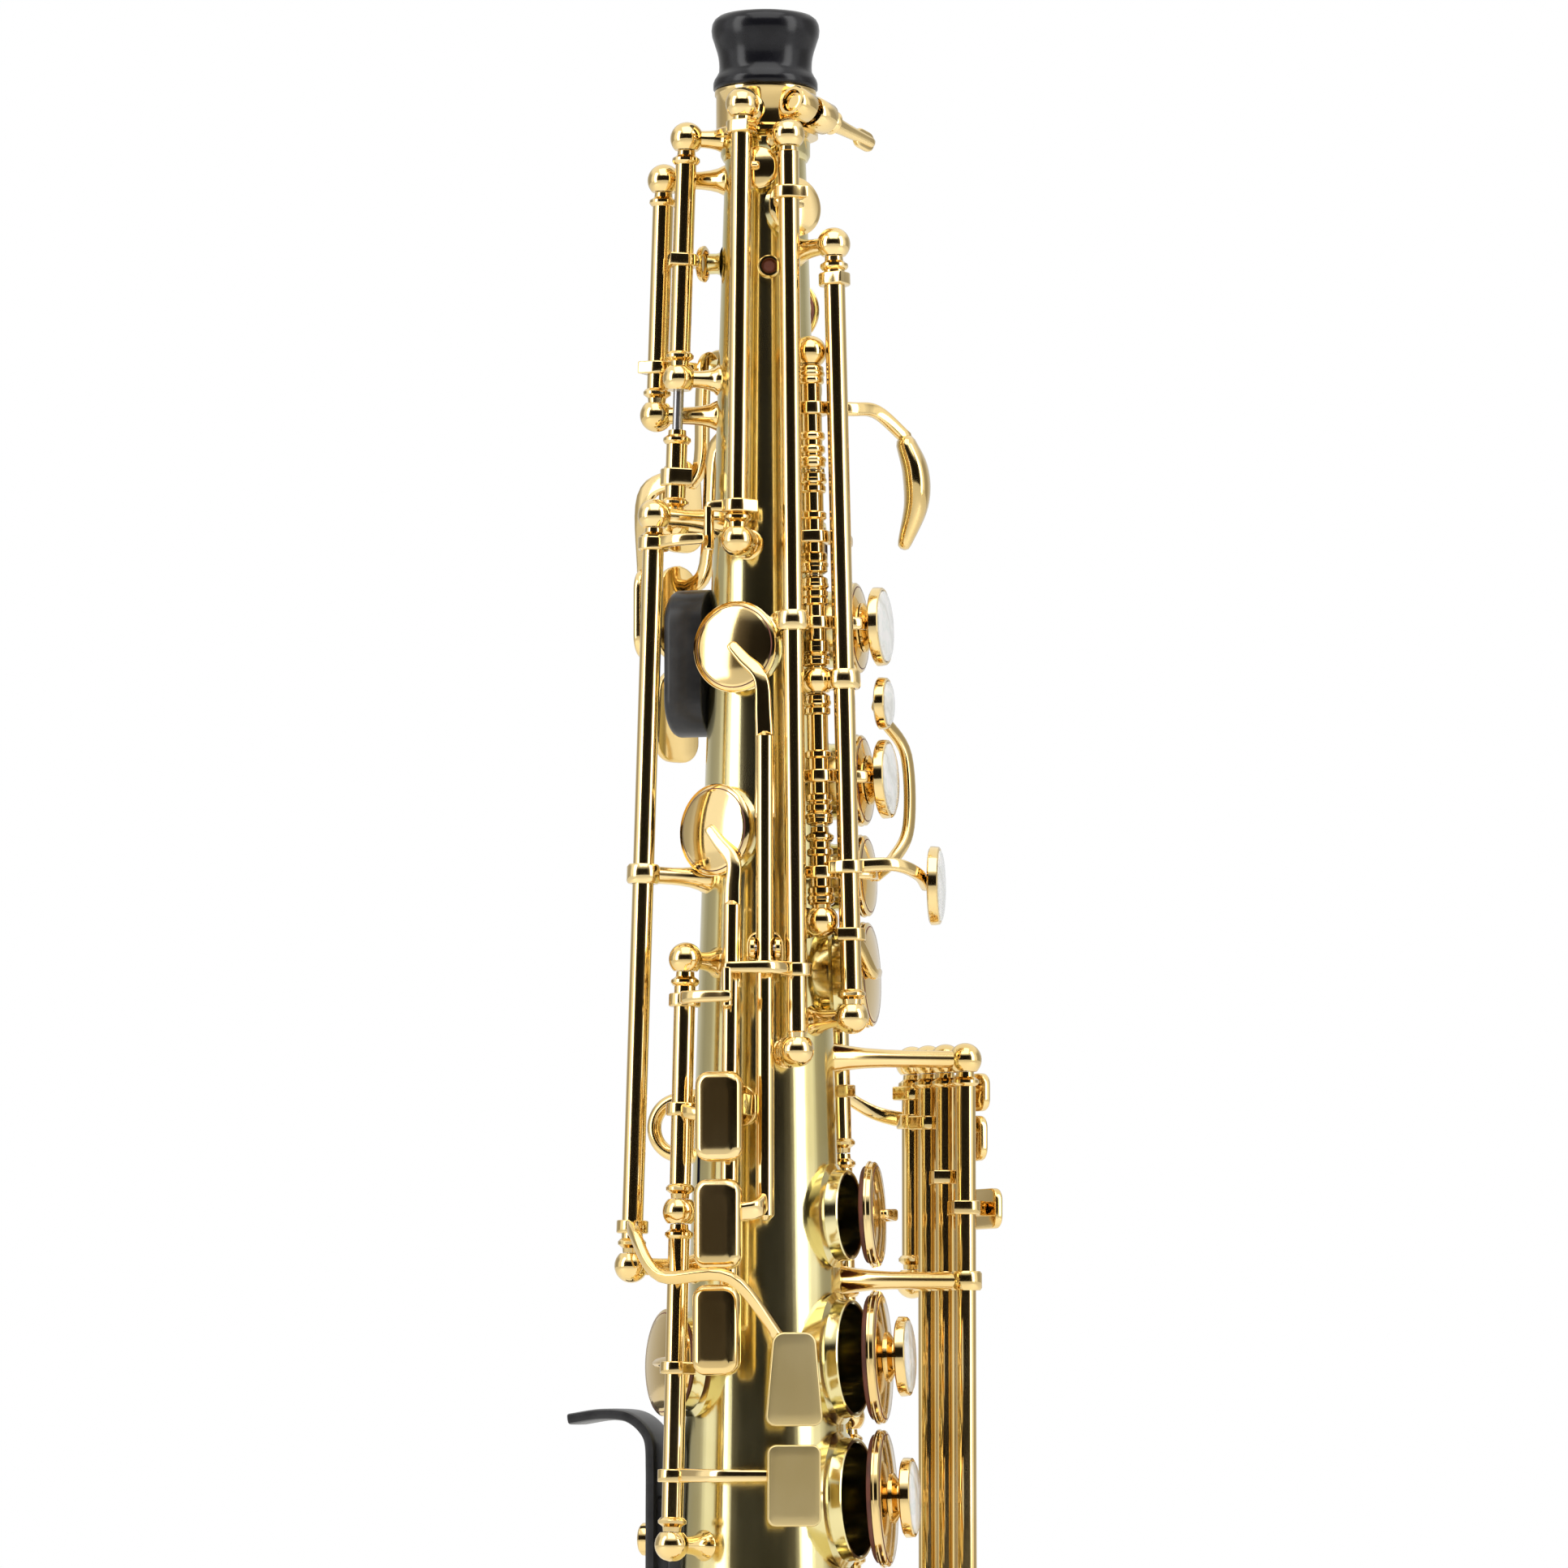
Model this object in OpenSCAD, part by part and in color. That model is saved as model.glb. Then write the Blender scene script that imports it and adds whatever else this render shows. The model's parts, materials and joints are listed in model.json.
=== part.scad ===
// Straight soprano saxophone body with its full key work, end plug fitted.
// Millimetres. The bell rim rests on z = 0, the bore runs up +Z, +X is the front of the
// stacks and -Y is the player's right-hand side.

/* [Tube] */
// Height of the neck receiver's lower edge above the bell rim
body_length = 556; // [548:1:565]
// Outer radius that the straight cone would have at the bell rim
tube_root_radius = 25.6; // [25:0.1:26.2]
// Radius lost for each millimetre of height
taper = 0.031; // [0.0305:0.0001:0.0315]
// Sheet thickness of the body and the bell
wall = 0.7; // [0.5:0.05:0.9]
// Height at which the bell is joined to the body
bell_joint = 34; // [32:1:35]
// Outer radius of the bell rim
bell_rim_radius = 46.5; // [44:0.5:49]
// Radius of the rolled bead on the bell rim
rim_bead = 1.3; // [1:0.1:1.6]

/* [Neck end] */
// Outer radius of the neck receiver
receiver_radius = 10.4; // [10:0.1:10.8]
// Height of the neck receiver
receiver_height = 10; // [8:0.5:12]
// Radius of the receiver's socket
socket_radius = 8.1; // [7.6:0.1:8.4]
// Height of the end plug above the receiver
plug_height = 16; // [14:0.5:20]
// Radius of the end plug's rounded top
plug_radius = 11.4; // [10.5:0.1:12.5]
// Length of the plug's spigot in the socket
spigot_length = 9.2; // [7:0.2:9.6]
// Radial clearance of the spigot in the socket
spigot_clearance = 0.08; // [0.04:0.01:0.1]

/* [Tone holes] */
// Wall of the tone-hole chimneys
chimney_wall = 1.0; // [0.8:0.1:1.2]
// Chimney height of the large holes above the tube
chimney_large = 3.2; // [2.8:0.1:3.6]
// Chimney height of the small holes above the tube
chimney_small = 1.8; // [1.5:0.1:2.2]
// Thickness of the large pads
pad_large = 3.0; // [2.6:0.1:3.4]
// Thickness of the small pads
pad_small = 1.4; // [1.2:0.1:1.6]
// How far a pad reaches past its chimney's outer edge
pad_overlap = 0.7; // [0.5:0.1:0.9]
// Wall of the key cups
cup_wall = 0.9; // [0.7:0.1:1.1]
// Gap left between a closed pad and its rim
seat_gap = 0.2; // [0.15:0.05:0.3]
// Radial gap between a pad and its cup
pad_fit = 0.05; // [0.03:0.01:0.08]

/* [Key work] */
// Radius of the steel pivot rods
rod_radius = 1.1; // [1:0.05:1.2]
// Radial running clearance of the hinge tubes on their rods
running_clearance = 0.06; // [0.03:0.01:0.09]
// Outer radius of the hinge tubes
hinge_radius = 2.2; // [2:0.05:2.3]
// Radius of the ball posts
ball_radius = 3.2; // [3:0.1:3.4]
// Half the distance between the two faces of a ball post
ball_face = 2.5; // [2.4:0.05:2.6]
// End play between a hinge tube and its ball posts
end_play = 0.12; // [0.05:0.01:0.2]
// Height of the stack rods above the tube
stack_height = 5; // [4.8:0.1:5.2]
// Width of the key arms along the instrument
arm_width = 5; // [4:0.2:5.6]
// Thickness of the key arms
arm_thickness = 1.8; // [1.5:0.1:2]
// How far the upper stack keys stand open, in degrees
upper_open = 10; // [8:0.5:11]
// How far the lower stack keys stand open, in degrees
lower_open = 9; // [7:0.5:10]
// How far the low B and B flat keys stand open, in degrees
bell_key_open = 7; // [6:0.5:8]

/* [Touches] */
// Radius of the large finger pearls
pearl_radius = 7.4; // [6.8:0.1:7.8]
// Radius of the bis key's small pearl
bis_pearl_radius = 4.6; // [4:0.1:5]
// Thickness of the pearls at their rim
pearl_edge = 1.6; // [1.3:0.1:1.9]
// Dome of the pearls above their rim
pearl_dome = 0.9; // [0.6:0.1:1.2]
// Length of the side-key touches
side_touch_length = 18.5; // [16:0.5:19]
// Width of the side-key touches
side_touch_width = 10; // [9:0.5:11]
// Length of the thumb hook's tongue from the tube
hook_reach = 33; // [28:1:36]
// Inner radius of the strap ring
strap_ring_radius = 4.3; // [3.8:0.1:4.6]
// Radius of the strap ring's wire
strap_ring_wire = 1.5; // [1.3:0.1:1.7]

/* [Hidden] */
$fn = 48;

body_gold = [0.86, 0.80, 0.55];
key_gold = [0.90, 0.70, 0.30];
steel = [0.35, 0.37, 0.42];
black_resin = [0.06, 0.06, 0.07];
pad_leather = [0.42, 0.20, 0.14];
pearl_white = [0.93, 0.92, 0.88];

lean = atan(taper);
small = 0.02;

// A hinge line is [angle round the tube, distance from the bore axis at z = 0, lean].
function leaned(angle, height) = [angle, tube_root_radius + height, lean];
function upright(angle, radius) = [angle, radius, 0];
function tube_radius(z) = tube_root_radius - taper * z;
function polar(angle, radius, z) = [radius * cos(angle), radius * sin(angle), z];
function line_radius(line, z) = line[1] - z * tan(line[2]);
function line_point(line, z) = polar(line[0], line_radius(line, z), z);
function line_height(line, z) = line_radius(line, z) - tube_radius(z);

// A tone hole is [height, angle, bore radius, chimney height, pad thickness].
hole_low_bflat = [53, 100, 14.6, chimney_large, pad_large];
hole_low_b = [91, 100, 14.0, chimney_large, pad_large];
hole_low_c = [131, 0, 13.4, chimney_large, pad_large];
hole_low_csharp = [166, 100, 12.0, chimney_large, pad_large];
hole_low_eflat = [203, -96, 11.6, chimney_large, pad_large];
hole_d = [239, 0, 12.4, chimney_large, pad_large];
hole_e = [271, 0, 11.6, chimney_large, pad_large];
hole_f = [300, 0, 11.2, chimney_large, pad_large];
hole_fsharp_trill = [299, -140, 8.6, chimney_large, pad_large];
hole_fsharp_aux = [329.5, 0, 8.4, chimney_large, pad_large];
hole_gsharp = [356, 99, 8.4, chimney_large, pad_large];
hole_g = [379.5, 15, 8.4, chimney_large, pad_large];
hole_side_bflat = [409, -113, 7.0, chimney_small, pad_small];
hole_bis = [400, 15, 6.0, chimney_large, pad_large];
hole_a = [420, 15, 7.0, chimney_large, pad_large];
hole_b = [452, 15, 7.0, chimney_large, pad_large];
hole_side_c = [447, -97, 6.9, chimney_small, pad_small];
hole_c_vent = [470, 15, 3.6, chimney_small, pad_small];
hole_palm_d = [486, 85, 5.2, chimney_small, pad_small];
hole_palm_eflat = [504, 85, 4.8, chimney_small, pad_small];
hole_palm_f = [521, 85, 4.4, chimney_small, pad_small];
hole_high_e = [540, -40, 3.6, chimney_small, pad_small];
hole_high_fsharp = [548, -80, 1.8, chimney_small, pad_small];
hole_octave_upper = [530, -178, 1.2, chimney_large, pad_small];
hole_octave_lower = [508, -195, 1.2, chimney_large, pad_small];

HOLES = [
    hole_low_c, hole_low_csharp, hole_low_eflat, hole_d, hole_e, hole_f,
    hole_fsharp_trill, hole_fsharp_aux, hole_gsharp, hole_g, hole_side_bflat, hole_bis,
    hole_a, hole_b, hole_side_c, hole_c_vent, hole_palm_d, hole_palm_eflat, hole_palm_f,
    hole_high_e, hole_high_fsharp, hole_octave_upper, hole_octave_lower,
    hole_low_b, hole_low_bflat
];

// Hinge lines, clockwise from the front as seen from above.
upper_stack_line = leaned(-33, stack_height);
g_line = leaned(-25.2, 10.4);
high_e_line = leaned(-54, 7);
side_c_line = leaned(-72, 6.2);
side_bflat_line = leaned(-92, 6.2);
high_fsharp_line = leaned(-91, 6.6);
trill_line = leaned(-118, 9);
fsharp_touch_line = leaned(-140, 14);
octave_upper_line = leaned(-158, 8.2);
octave_lower_line = leaned(-173, 13.2);
palm_line = leaned(130, 5);
lower_stack_line = leaned(55, stack_height);
low_front_line = leaned(-47, 5);
gsharp_touch_line = upright(58, 40.5);
low_csharp_line = upright(50, 40.5);
low_b_line = upright(42, 41.5);
low_bflat_line = upright(34, 43.6);

// Every steel rod is [hinge line, centre of its lower ball post, centre of its upper one].
bracket_top = 362.5;
bracket_middle = 316.2;
bracket_low = 219.5;
RODS = [
    [upper_stack_line, 390, 509],
    [g_line, 370, 531.5],
    [high_e_line, 363, 554.5],
    [high_fsharp_line, 469, 561],
    [trill_line, 262, 382],
    [fsharp_touch_line, 319, 475],
    [octave_upper_line, 474, 556],
    [octave_lower_line, 498, 548],
    [palm_line, 448, 526],
    [lower_stack_line, 222, 374],
    [low_front_line, 107, 217]
];
// The long rods of the left-hand table run between brackets on one stalk.
TABLE_RODS = [
    [gsharp_touch_line, bracket_middle, bracket_top],
    [low_csharp_line, 150, bracket_top],
    [low_b_line, 76, bracket_top],
    [low_bflat_line, 44, bracket_top]
];
// Ball posts between the keys that share a rod: [hinge line, height].
MID_POSTS = [
    [upper_stack_line, 440],
    [trill_line, 330],
    [lower_stack_line, 288],
    [octave_upper_line, 505],
    [low_front_line, 160]
];
// Guide rings round long hinge tubes: [hinge line, height].
GUIDES = [
    [high_e_line, 452],
    [fsharp_touch_line, 400]
];
// The G key's guide stands on the upper stack's middle post.
g_guide = 440;
// Forks that carry the two rocking side keys: [hinge line, height of the pivot].
side_c_pivot = 384;
side_bflat_pivot = 352;

// ---- frames -------------------------------------------------------------------------
// Local Z along the hinge line, local X away from the bore.
module on_line(line) {
    rotate([0, 0, line[0]]) translate([line[1], 0, 0]) rotate([0, -line[2], 0]) children();
}

module off_line(line) {
    rotate([0, line[2], 0]) translate([-line[1], 0, 0]) rotate([0, 0, -line[0]]) children();
}

// Turns its children about a hinge line; a positive angle brings the +angle side inward.
module swing(line, degrees) {
    on_line(line) rotate([0, 0, degrees]) off_line(line) children();
}

// Local Z straight out of a tone hole, starting on the tube's surface.
module at_hole(hole) {
    on_line(leaned(hole[1], 0)) translate([0, 0, hole[0]]) rotate([0, 90, 0]) children();
}

// Local Z away from the bore at a given distance, local X down the instrument.
module facing(angle, radius, z) {
    rotate([0, 0, angle]) translate([radius, 0, z]) rotate([0, 90, 0]) children();
}

// ---- shared shapes --------------------------------------------------------------------
function pad_radius(hole) = hole[2] + chimney_wall + pad_overlap;
function cup_radius(hole) = pad_radius(hole) + pad_fit + cup_wall;
function cup_base(hole) = hole[3] + seat_gap;
function cup_top(hole) = cup_base(hole) + hole[4] + cup_wall;
function cup_crown(hole) = polar(hole[1], tube_radius(hole[0]) + cup_top(hole), hole[0]);

// The point over the cup's edge that faces the hinge line.
function cup_edge(hole, line) =
    let (side = line[0] > hole[1] ? 1 : -1)
    let (out = tube_radius(hole[0]) + cup_top(hole))
    let (across = side * cup_radius(hole) * 0.8)
    [
        out * cos(hole[1]) - across * sin(hole[1]),
        out * sin(hole[1]) + across * cos(hole[1]),
        hole[0]
    ];

module tube_cone(grow, z_low, z_high) {
    rotate_extrude($fn = 96)
        polygon([
            [0, z_low],
            [tube_radius(z_low) + grow, z_low],
            [tube_radius(z_high) + grow, z_high],
            [0, z_high]
        ]);
}

module hinge_tube(line, z_low, z_high) {
    on_line(line) translate([0, 0, z_low]) {
        cylinder(r = hinge_radius, h = z_high - z_low);
    }
}

module hinge_bore(line, z_low, z_high) {
    on_line(line) translate([0, 0, z_low - 1])
        cylinder(r = rod_radius + running_clearance, h = z_high - z_low + 2);
}

// A collar brazed round a hinge tube where an arm leaves it.
module collar(line, z) {
    on_line(line) translate([0, 0, z - arm_width / 2])
        rotate_extrude()
            polygon([
                [0, 0],
                [hinge_radius + 0.1, 0],
                [hinge_radius + 0.7, 0.8],
                [hinge_radius + 0.7, arm_width - 0.8],
                [hinge_radius + 0.1, arm_width],
                [0, arm_width]
            ]);
}

// A flat strap through a list of points, its width along the instrument.
module strap(points, width = arm_width, thickness = arm_thickness) {
    for (i = [0 : len(points) - 2])
        hull() {
            translate(points[i])
                cylinder(d = thickness, h = width, center = true, $fn = 12);
            translate(points[i + 1])
                cylinder(d = thickness, h = width, center = true, $fn = 12);
        }
}

module key_cup(hole) {
    r = cup_radius(hole);
    skirt = hole[4] * 0.35;
    top = hole[4] + cup_wall;
    at_hole(hole) translate([0, 0, cup_base(hole)])
        rotate_extrude()
            polygon([
                [0, skirt],
                [r, skirt],
                [r, top - cup_wall],
                [r - cup_wall, top - 0.2],
                [r * 0.55, top],
                [0, top]
            ]);
}

module pad(hole) {
    at_hole(hole) translate([0, 0, cup_base(hole)])
        cylinder(r = pad_radius(hole), h = hole[4]);
}

module pad_space(hole) {
    at_hole(hole) translate([0, 0, -1])
        cylinder(r = pad_radius(hole) + pad_fit, h = cup_base(hole) + hole[4] + 1);
}

module cup_arm(line, z, hole) {
    collar(line, z);
    strap([line_point(line, z), cup_edge(hole, line), cup_crown(hole)]);
    at_hole(hole) translate([0, 0, cup_top(hole) - 0.2])
        cylinder(r1 = arm_width * 0.62, r2 = arm_width * 0.5, h = arm_thickness * 0.6);
}

// Hinge tube, cup and arm in one brazed piece; touches are added as children.
module cup_key(line, z_low, z_high, hole, arm_z) {
    difference() {
        union() {
            hinge_tube(line, z_low, z_high);
            key_cup(hole);
            cup_arm(line, arm_z, hole);
            children();
        }
        pad_space(hole);
        hinge_bore(line, z_low, z_high);
    }
}

// A hinge tube with straps but no cup.
module lever(line, z_low, z_high) {
    difference() {
        union() {
            hinge_tube(line, z_low, z_high);
            children();
        }
        hinge_bore(line, z_low, z_high);
    }
}

module pearl_profile(radius) {
    steps = 5;
    polygon(concat(
        [[0, 0], [radius, 0]],
        [
            for (i = [0 : steps])
                [radius * cos(90 * i / steps), pearl_edge + pearl_dome * sin(90 * i / steps)]
        ]
    ));
}

// A pearl and the brass holder it sits in, both on the local Z axis.
module pearl(radius) {
    translate([0, 0, holder_floor]) rotate_extrude() pearl_profile(radius);
}

holder_floor = 0.9;
holder_wall = 0.8;

module pearl_holder(radius) {
    difference() {
        cylinder(r1 = radius + holder_wall * 0.6, r2 = radius + holder_wall, h = holder_floor + pearl_edge * 0.8);
        translate([0, 0, holder_floor]) cylinder(r = radius + pad_fit, h = pearl_edge + 1);
    }
}

holder_stem = arm_thickness * 0.6 + 1.2;

// Seat of a pearl on top of a cup.
module on_cup(hole) {
    at_hole(hole) translate([0, 0, cup_top(hole) + holder_stem - 0.2]) children();
}

module cup_pearl_holder(hole, radius) {
    on_cup(hole) {
        pearl_holder(radius);
        translate([0, 0, -holder_stem]) cylinder(r1 = 4.4, r2 = 3.2, h = holder_stem + small);
    }
}

// A convex touch plate, local X along it and local Z out of it.
module touch_plate(length, width, thickness = 2.2, dome = 1.2) {
    corner = min(length, width) * 0.42;
    hull() {
        for (x = [-1, 1])
            for (y = [-1, 1]) {
                translate([x * (length / 2 - corner), y * (width / 2 - corner), 0])
                    cylinder(r = corner, h = thickness, $fn = 20);
                translate([x * (length / 2 - corner), y * (width / 2 - corner), 0])
                    cylinder(r = corner * 0.45, h = thickness + dome, $fn = 12);
            }
    }
}

// ---- body -----------------------------------------------------------------------------
module body_tube() {
    color(body_gold)
        difference() {
            union() {
                tube_cone(0, bell_joint, body_length);
                for (hole = HOLES)
                    at_hole(hole) translate([0, 0, -hole[2] * 0.6])
                        cylinder(r = hole[2] + chimney_wall, h = hole[3] + hole[2] * 0.6);
                joint_ring(bell_joint, 5);
                joint_ring(body_length - 5, 5);
            }
            tube_cone(-wall, bell_joint - 1, body_length + 1);
            for (hole = HOLES)
                at_hole(hole) translate([0, 0, -hole[2] - 3])
                    cylinder(r = hole[2], h = hole[3] + hole[2] + 4);
        }
}

// A reinforcing ring round the tube.
module joint_ring(z, height) {
    rotate_extrude($fn = 96)
        polygon([
            [tube_radius(z) - wall / 2, z],
            [tube_radius(z) + 0.5, z],
            [tube_radius(z) + 0.9, z + height * 0.3],
            [tube_radius(z) + 0.9, z + height * 0.7],
            [tube_radius(z + height) + 0.5, z + height],
            [tube_radius(z) - wall / 2, z + height]
        ]);
}

// Outline of the flare: a quarter of a superellipse from the joint to the rim.
function flare_radius(t) =
    let (joint = tube_radius(bell_joint))
    joint + (bell_rim_radius - rim_bead - joint) * pow(1 - t, 2.6);

module bell() {
    steps = 14;
    outer = [for (i = [0 : steps]) [flare_radius(i / steps), bell_joint * i / steps]];
    inner = [for (i = [steps : -1 : 0]) [flare_radius(i / steps) - wall, bell_joint * i / steps]];
    color(body_gold)
        rotate_extrude($fn = 96)
            intersection() {
                union() {
                    polygon(concat(outer, inner));
                    translate([bell_rim_radius - rim_bead, rim_bead * 0.8])
                        circle(r = rim_bead, $fn = 24);
                }
                square([bell_rim_radius + 5, bell_joint]);
            }
}

receiver_top = body_length + receiver_height;

module neck_receiver() {
    slot = 1.2;
    color(key_gold)
        difference() {
            union() {
                translate([0, 0, body_length]) cylinder(r = receiver_radius, h = receiver_height);
                translate([0, 0, body_length]) cylinder(r = receiver_radius + 0.7, h = 1.4);
                clamp_frame() translate([0, 0, -clamp_length / 2])
                    cylinder(r = clamp_radius, h = clamp_length);
            }
            translate([0, 0, body_length - 1]) cylinder(r = socket_radius, h = receiver_height + 2);
            rotate([0, 0, clamp_angle]) translate([0, -slot / 2, body_length + 2])
                cube([receiver_radius + 12, slot, receiver_height]);
            clamp_frame() translate([0, 0, -clamp_length])
                cylinder(r = screw_radius + running_clearance, h = clamp_length * 2);
            clamp_frame() translate([0, 0, clamp_length / 2 - 2.4])
                cylinder(r = screw_head_radius + 0.1, h = 3);
        }
}

clamp_angle = -22;
clamp_tilt = 12;
clamp_radius = 3.4;
clamp_length = 12;
clamp_z = body_length + 4.6;
screw_radius = 1.4;
screw_head_radius = 2.2;

// Local Z along the clamp screw, which crosses the slot of the receiver.
module clamp_frame() {
    rotate([0, 0, clamp_angle]) translate([receiver_radius + 1.6, 0, clamp_z])
        rotate([90 - clamp_tilt, 0, 0]) children();
}

module neck_screw() {
    color(key_gold)
        clamp_frame() {
            translate([0, 0, clamp_length / 2 - 2.2]) cylinder(r = screw_head_radius, h = 1.6);
            translate([0, 0, -clamp_length / 2 - 2]) cylinder(r = screw_radius, h = clamp_length);
            translate([0, 0, -clamp_length / 2 - 2.4]) cylinder(r = 2.6, h = 2.2);
            hull() {
                translate([0, 0, -clamp_length / 2 - 3]) cylinder(r = 1.8, h = 1, $fn = 20);
                translate([0.6, 0, -clamp_length / 2 - 14]) rotate([0, 90, 0])
                    cylinder(r = 2.6, h = 1.2, center = true, $fn = 24);
            }
        }
}

module end_plug() {
    top = receiver_top + plug_height;
    base = receiver_top + 0.05;
    waist = plug_radius - 1.5;
    color(black_resin)
        rotate_extrude($fn = 64)
            polygon(concat(
                [
                    [0, receiver_top - spigot_length],
                    [socket_radius - spigot_clearance - 0.6, receiver_top - spigot_length],
                    [socket_radius - spigot_clearance, receiver_top - spigot_length + 0.8],
                    [socket_radius - spigot_clearance, base],
                    [receiver_radius + 0.6, base],
                    [receiver_radius + 0.6, base + 2.4]
                ],
                [
                    for (i = [0 : 6])
                        let (t = i / 6)
                        [waist + (t * t) * 1.2 - 0.3 * sin(180 * t), base + 2.8 + t * 7.4]
                ],
                [
                    for (i = [0 : 6])
                        let (a = -20 + 110 * i / 6)
                        [plug_radius - 3.4 + 3.4 * cos(a), top - 3.4 + 3.4 * sin(a)]
                ],
                [[0, top]]
            ));
}

// ---- posts, rods and springs ------------------------------------------------------------
post_neck = 1.7;
guide_wall = 1.1;
guide_gap = 0.15;
fork_ear = 1.2;
fork_gap = 0.15;
bar_radius = 1.9;

// The turned stem and flared foot of a post, from a hinge line down to the tube.
module post_stem(line, z) {
    reach = line_height(line, z);
    foot = min(2.4, reach - ball_radius * 0.7);
    on_line(line) translate([0, 0, z]) rotate([0, -90, 0]) {
        cylinder(r = post_neck, h = reach + 0.6);
        translate([0, 0, reach - foot]) cylinder(r1 = post_neck, r2 = 3.2, h = foot + 0.9);
    }
}

module ball(line, z) {
    on_line(line) translate([0, 0, z])
        intersection() {
            sphere(r = ball_radius, $fn = 40);
            cylinder(r = ball_radius + 1, h = 2 * ball_face, center = true);
        }
}

module ball_post(line, z) {
    ball(line, z);
    post_stem(line, z);
}

module guide_ring(line, z) {
    on_line(line) translate([0, 0, z])
        cylinder(r = hinge_radius + guide_gap + guide_wall, h = 4, center = true);
}

module guide_bore(line, z) {
    on_line(line) translate([0, 0, z])
        cylinder(r = hinge_radius + guide_gap, h = 8, center = true);
}

module rod_bore(rod) {
    on_line(rod[0]) translate([0, 0, rod[1] - ball_face - 2])
        cylinder(r = rod_radius + small, h = rod[2] - rod[1] + 2 * ball_face + 4);
}

// A round bar between two points.
module round_bar(from, to, radius) {
    run = to - from;
    translate(from) rotate([0, acos(run[2] / norm(run)), atan2(run[1], run[0])])
        cylinder(r = radius, h = norm(run));
}

// A crossbar from one hinge line to the next at a bracket.
module crossbar(z) {
    lines = [low_bflat_line, low_b_line, low_csharp_line, gsharp_touch_line];
    last = z > bracket_low + 1 ? 2 : 1;
    for (i = [0 : last]) round_bar(line_point(lines[i], z), line_point(lines[i + 1], z), 1.6);
}

module fork_frame(line, z) {
    on_line(line) translate([0, 0, z]) rotate([90, 0, 0]) children();
}

fork_inner = bar_radius + fork_gap;
fork_width = 2 * (fork_inner + fork_ear);
pin_radius = 0.9;

module fork(line, z) {
    reach = line_height(line, z);
    difference() {
        union() {
            fork_frame(line, z) cylinder(r = 2.3, h = fork_width, center = true);
            on_line(line) translate([-reach - 0.6, -fork_width / 2, z - 2.3])
                cube([reach + 0.6, fork_width, 4.6]);
            on_line(line) translate([-reach - 0.8, 0, z]) rotate([0, 90, 0])
                cylinder(r = 4, h = 1.6);
        }
        on_line(line) translate([-bar_radius - 1.2, -fork_inner, z - 5])
            cube([10, 2 * fork_inner, 10]);
        fork_frame(line, z) cylinder(r = pin_radius + small, h = 20, center = true);
    }
}

module posts() {
    color(key_gold)
        difference() {
            union() {
                for (rod = RODS) {
                    ball_post(rod[0], rod[1]);
                    ball_post(rod[0], rod[2]);
                }
                for (rod = TABLE_RODS) {
                    ball(rod[0], rod[2]);
                    if (rod[1] < bracket_low) ball_post(rod[0], rod[1]);
                    if (rod[1] > bracket_low) ball(rod[0], rod[1]);
                }
                for (post = MID_POSTS) ball_post(post[0], post[1]);
                for (guide = GUIDES) {
                    guide_ring(guide[0], guide[1]);
                    post_stem(guide[0], guide[1]);
                }
                guide_ring(g_line, g_guide);
                round_bar(
                    line_point(upper_stack_line, g_guide), line_point(g_line, g_guide), 1.5
                );
                for (z = [bracket_low, bracket_middle, bracket_top]) {
                    post_stem(low_bflat_line, z);
                    crossbar(z);
                }
                for (z = [bracket_low, bracket_middle])
                    for (line = [low_csharp_line, low_b_line, low_bflat_line])
                        guide_ring(line, z);
                fork(side_c_line, side_c_pivot);
                fork(side_bflat_line, side_bflat_pivot);
            }
            tube_cone(small, bell_joint, body_length);
            tube_cone(1.1, body_length - 5.1, body_length);
            translate([0, 0, body_length - 1])
                cylinder(r = receiver_radius + 0.02, h = receiver_height + 2);
            translate([0, 0, body_length - 1]) cylinder(r = receiver_radius + 0.72, h = 2.42);
            for (rod = RODS) rod_bore(rod);
            for (rod = TABLE_RODS) rod_bore(rod);
            for (guide = GUIDES) guide_bore(guide[0], guide[1]);
            guide_bore(g_line, g_guide);
            for (hole = HOLES)
                at_hole(hole) translate([0, 0, -hole[2] * 0.6 - small])
                    cylinder(
                        r = hole[2] + chimney_wall + small,
                        h = hole[3] + hole[2] * 0.6 + 2 * small
                    );
            for (z = [bracket_low, bracket_middle])
                for (line = [low_csharp_line, low_b_line, low_bflat_line]) guide_bore(line, z);
        }
}

module pivot_rods() {
    color(steel) {
        for (rod = concat(RODS, TABLE_RODS))
            on_line(rod[0]) translate([0, 0, rod[1] - ball_face])
                cylinder(r = rod_radius, h = rod[2] - rod[1] + 2 * ball_face);
        fork_frame(side_c_line, side_c_pivot)
            cylinder(r = pin_radius, h = fork_width, center = true);
        fork_frame(side_bflat_line, side_bflat_pivot)
            cylinder(r = pin_radius, h = fork_width, center = true);
    }
}

// A needle spring beside a hinge line, from just over one post along the rod.
module needle(line, z, length, side) {
    on_line(line) translate([-spring_drop, side * spring_side, z]) cylinder(r = 0.3, h = length, $fn = 16);
}

spring_drop = 3.3;
spring_side = 1.9;

module needle_springs() {
    color(steel) {
        for (z = [392, 442.5]) needle(upper_stack_line, z, 18, -1);
        for (z = [224.5, 290.5, 325]) needle(lower_stack_line, z, 20, -1);
        needle(trill_line, 332.5, 26, 1);
        needle(high_e_line, 365.5, 24, 1);
        needle(low_front_line, 109.5, 20, 1);
        needle(low_front_line, 162.5, 20, 1);
        needle(palm_line, 450.5, 16, 1);
    }
}

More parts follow.
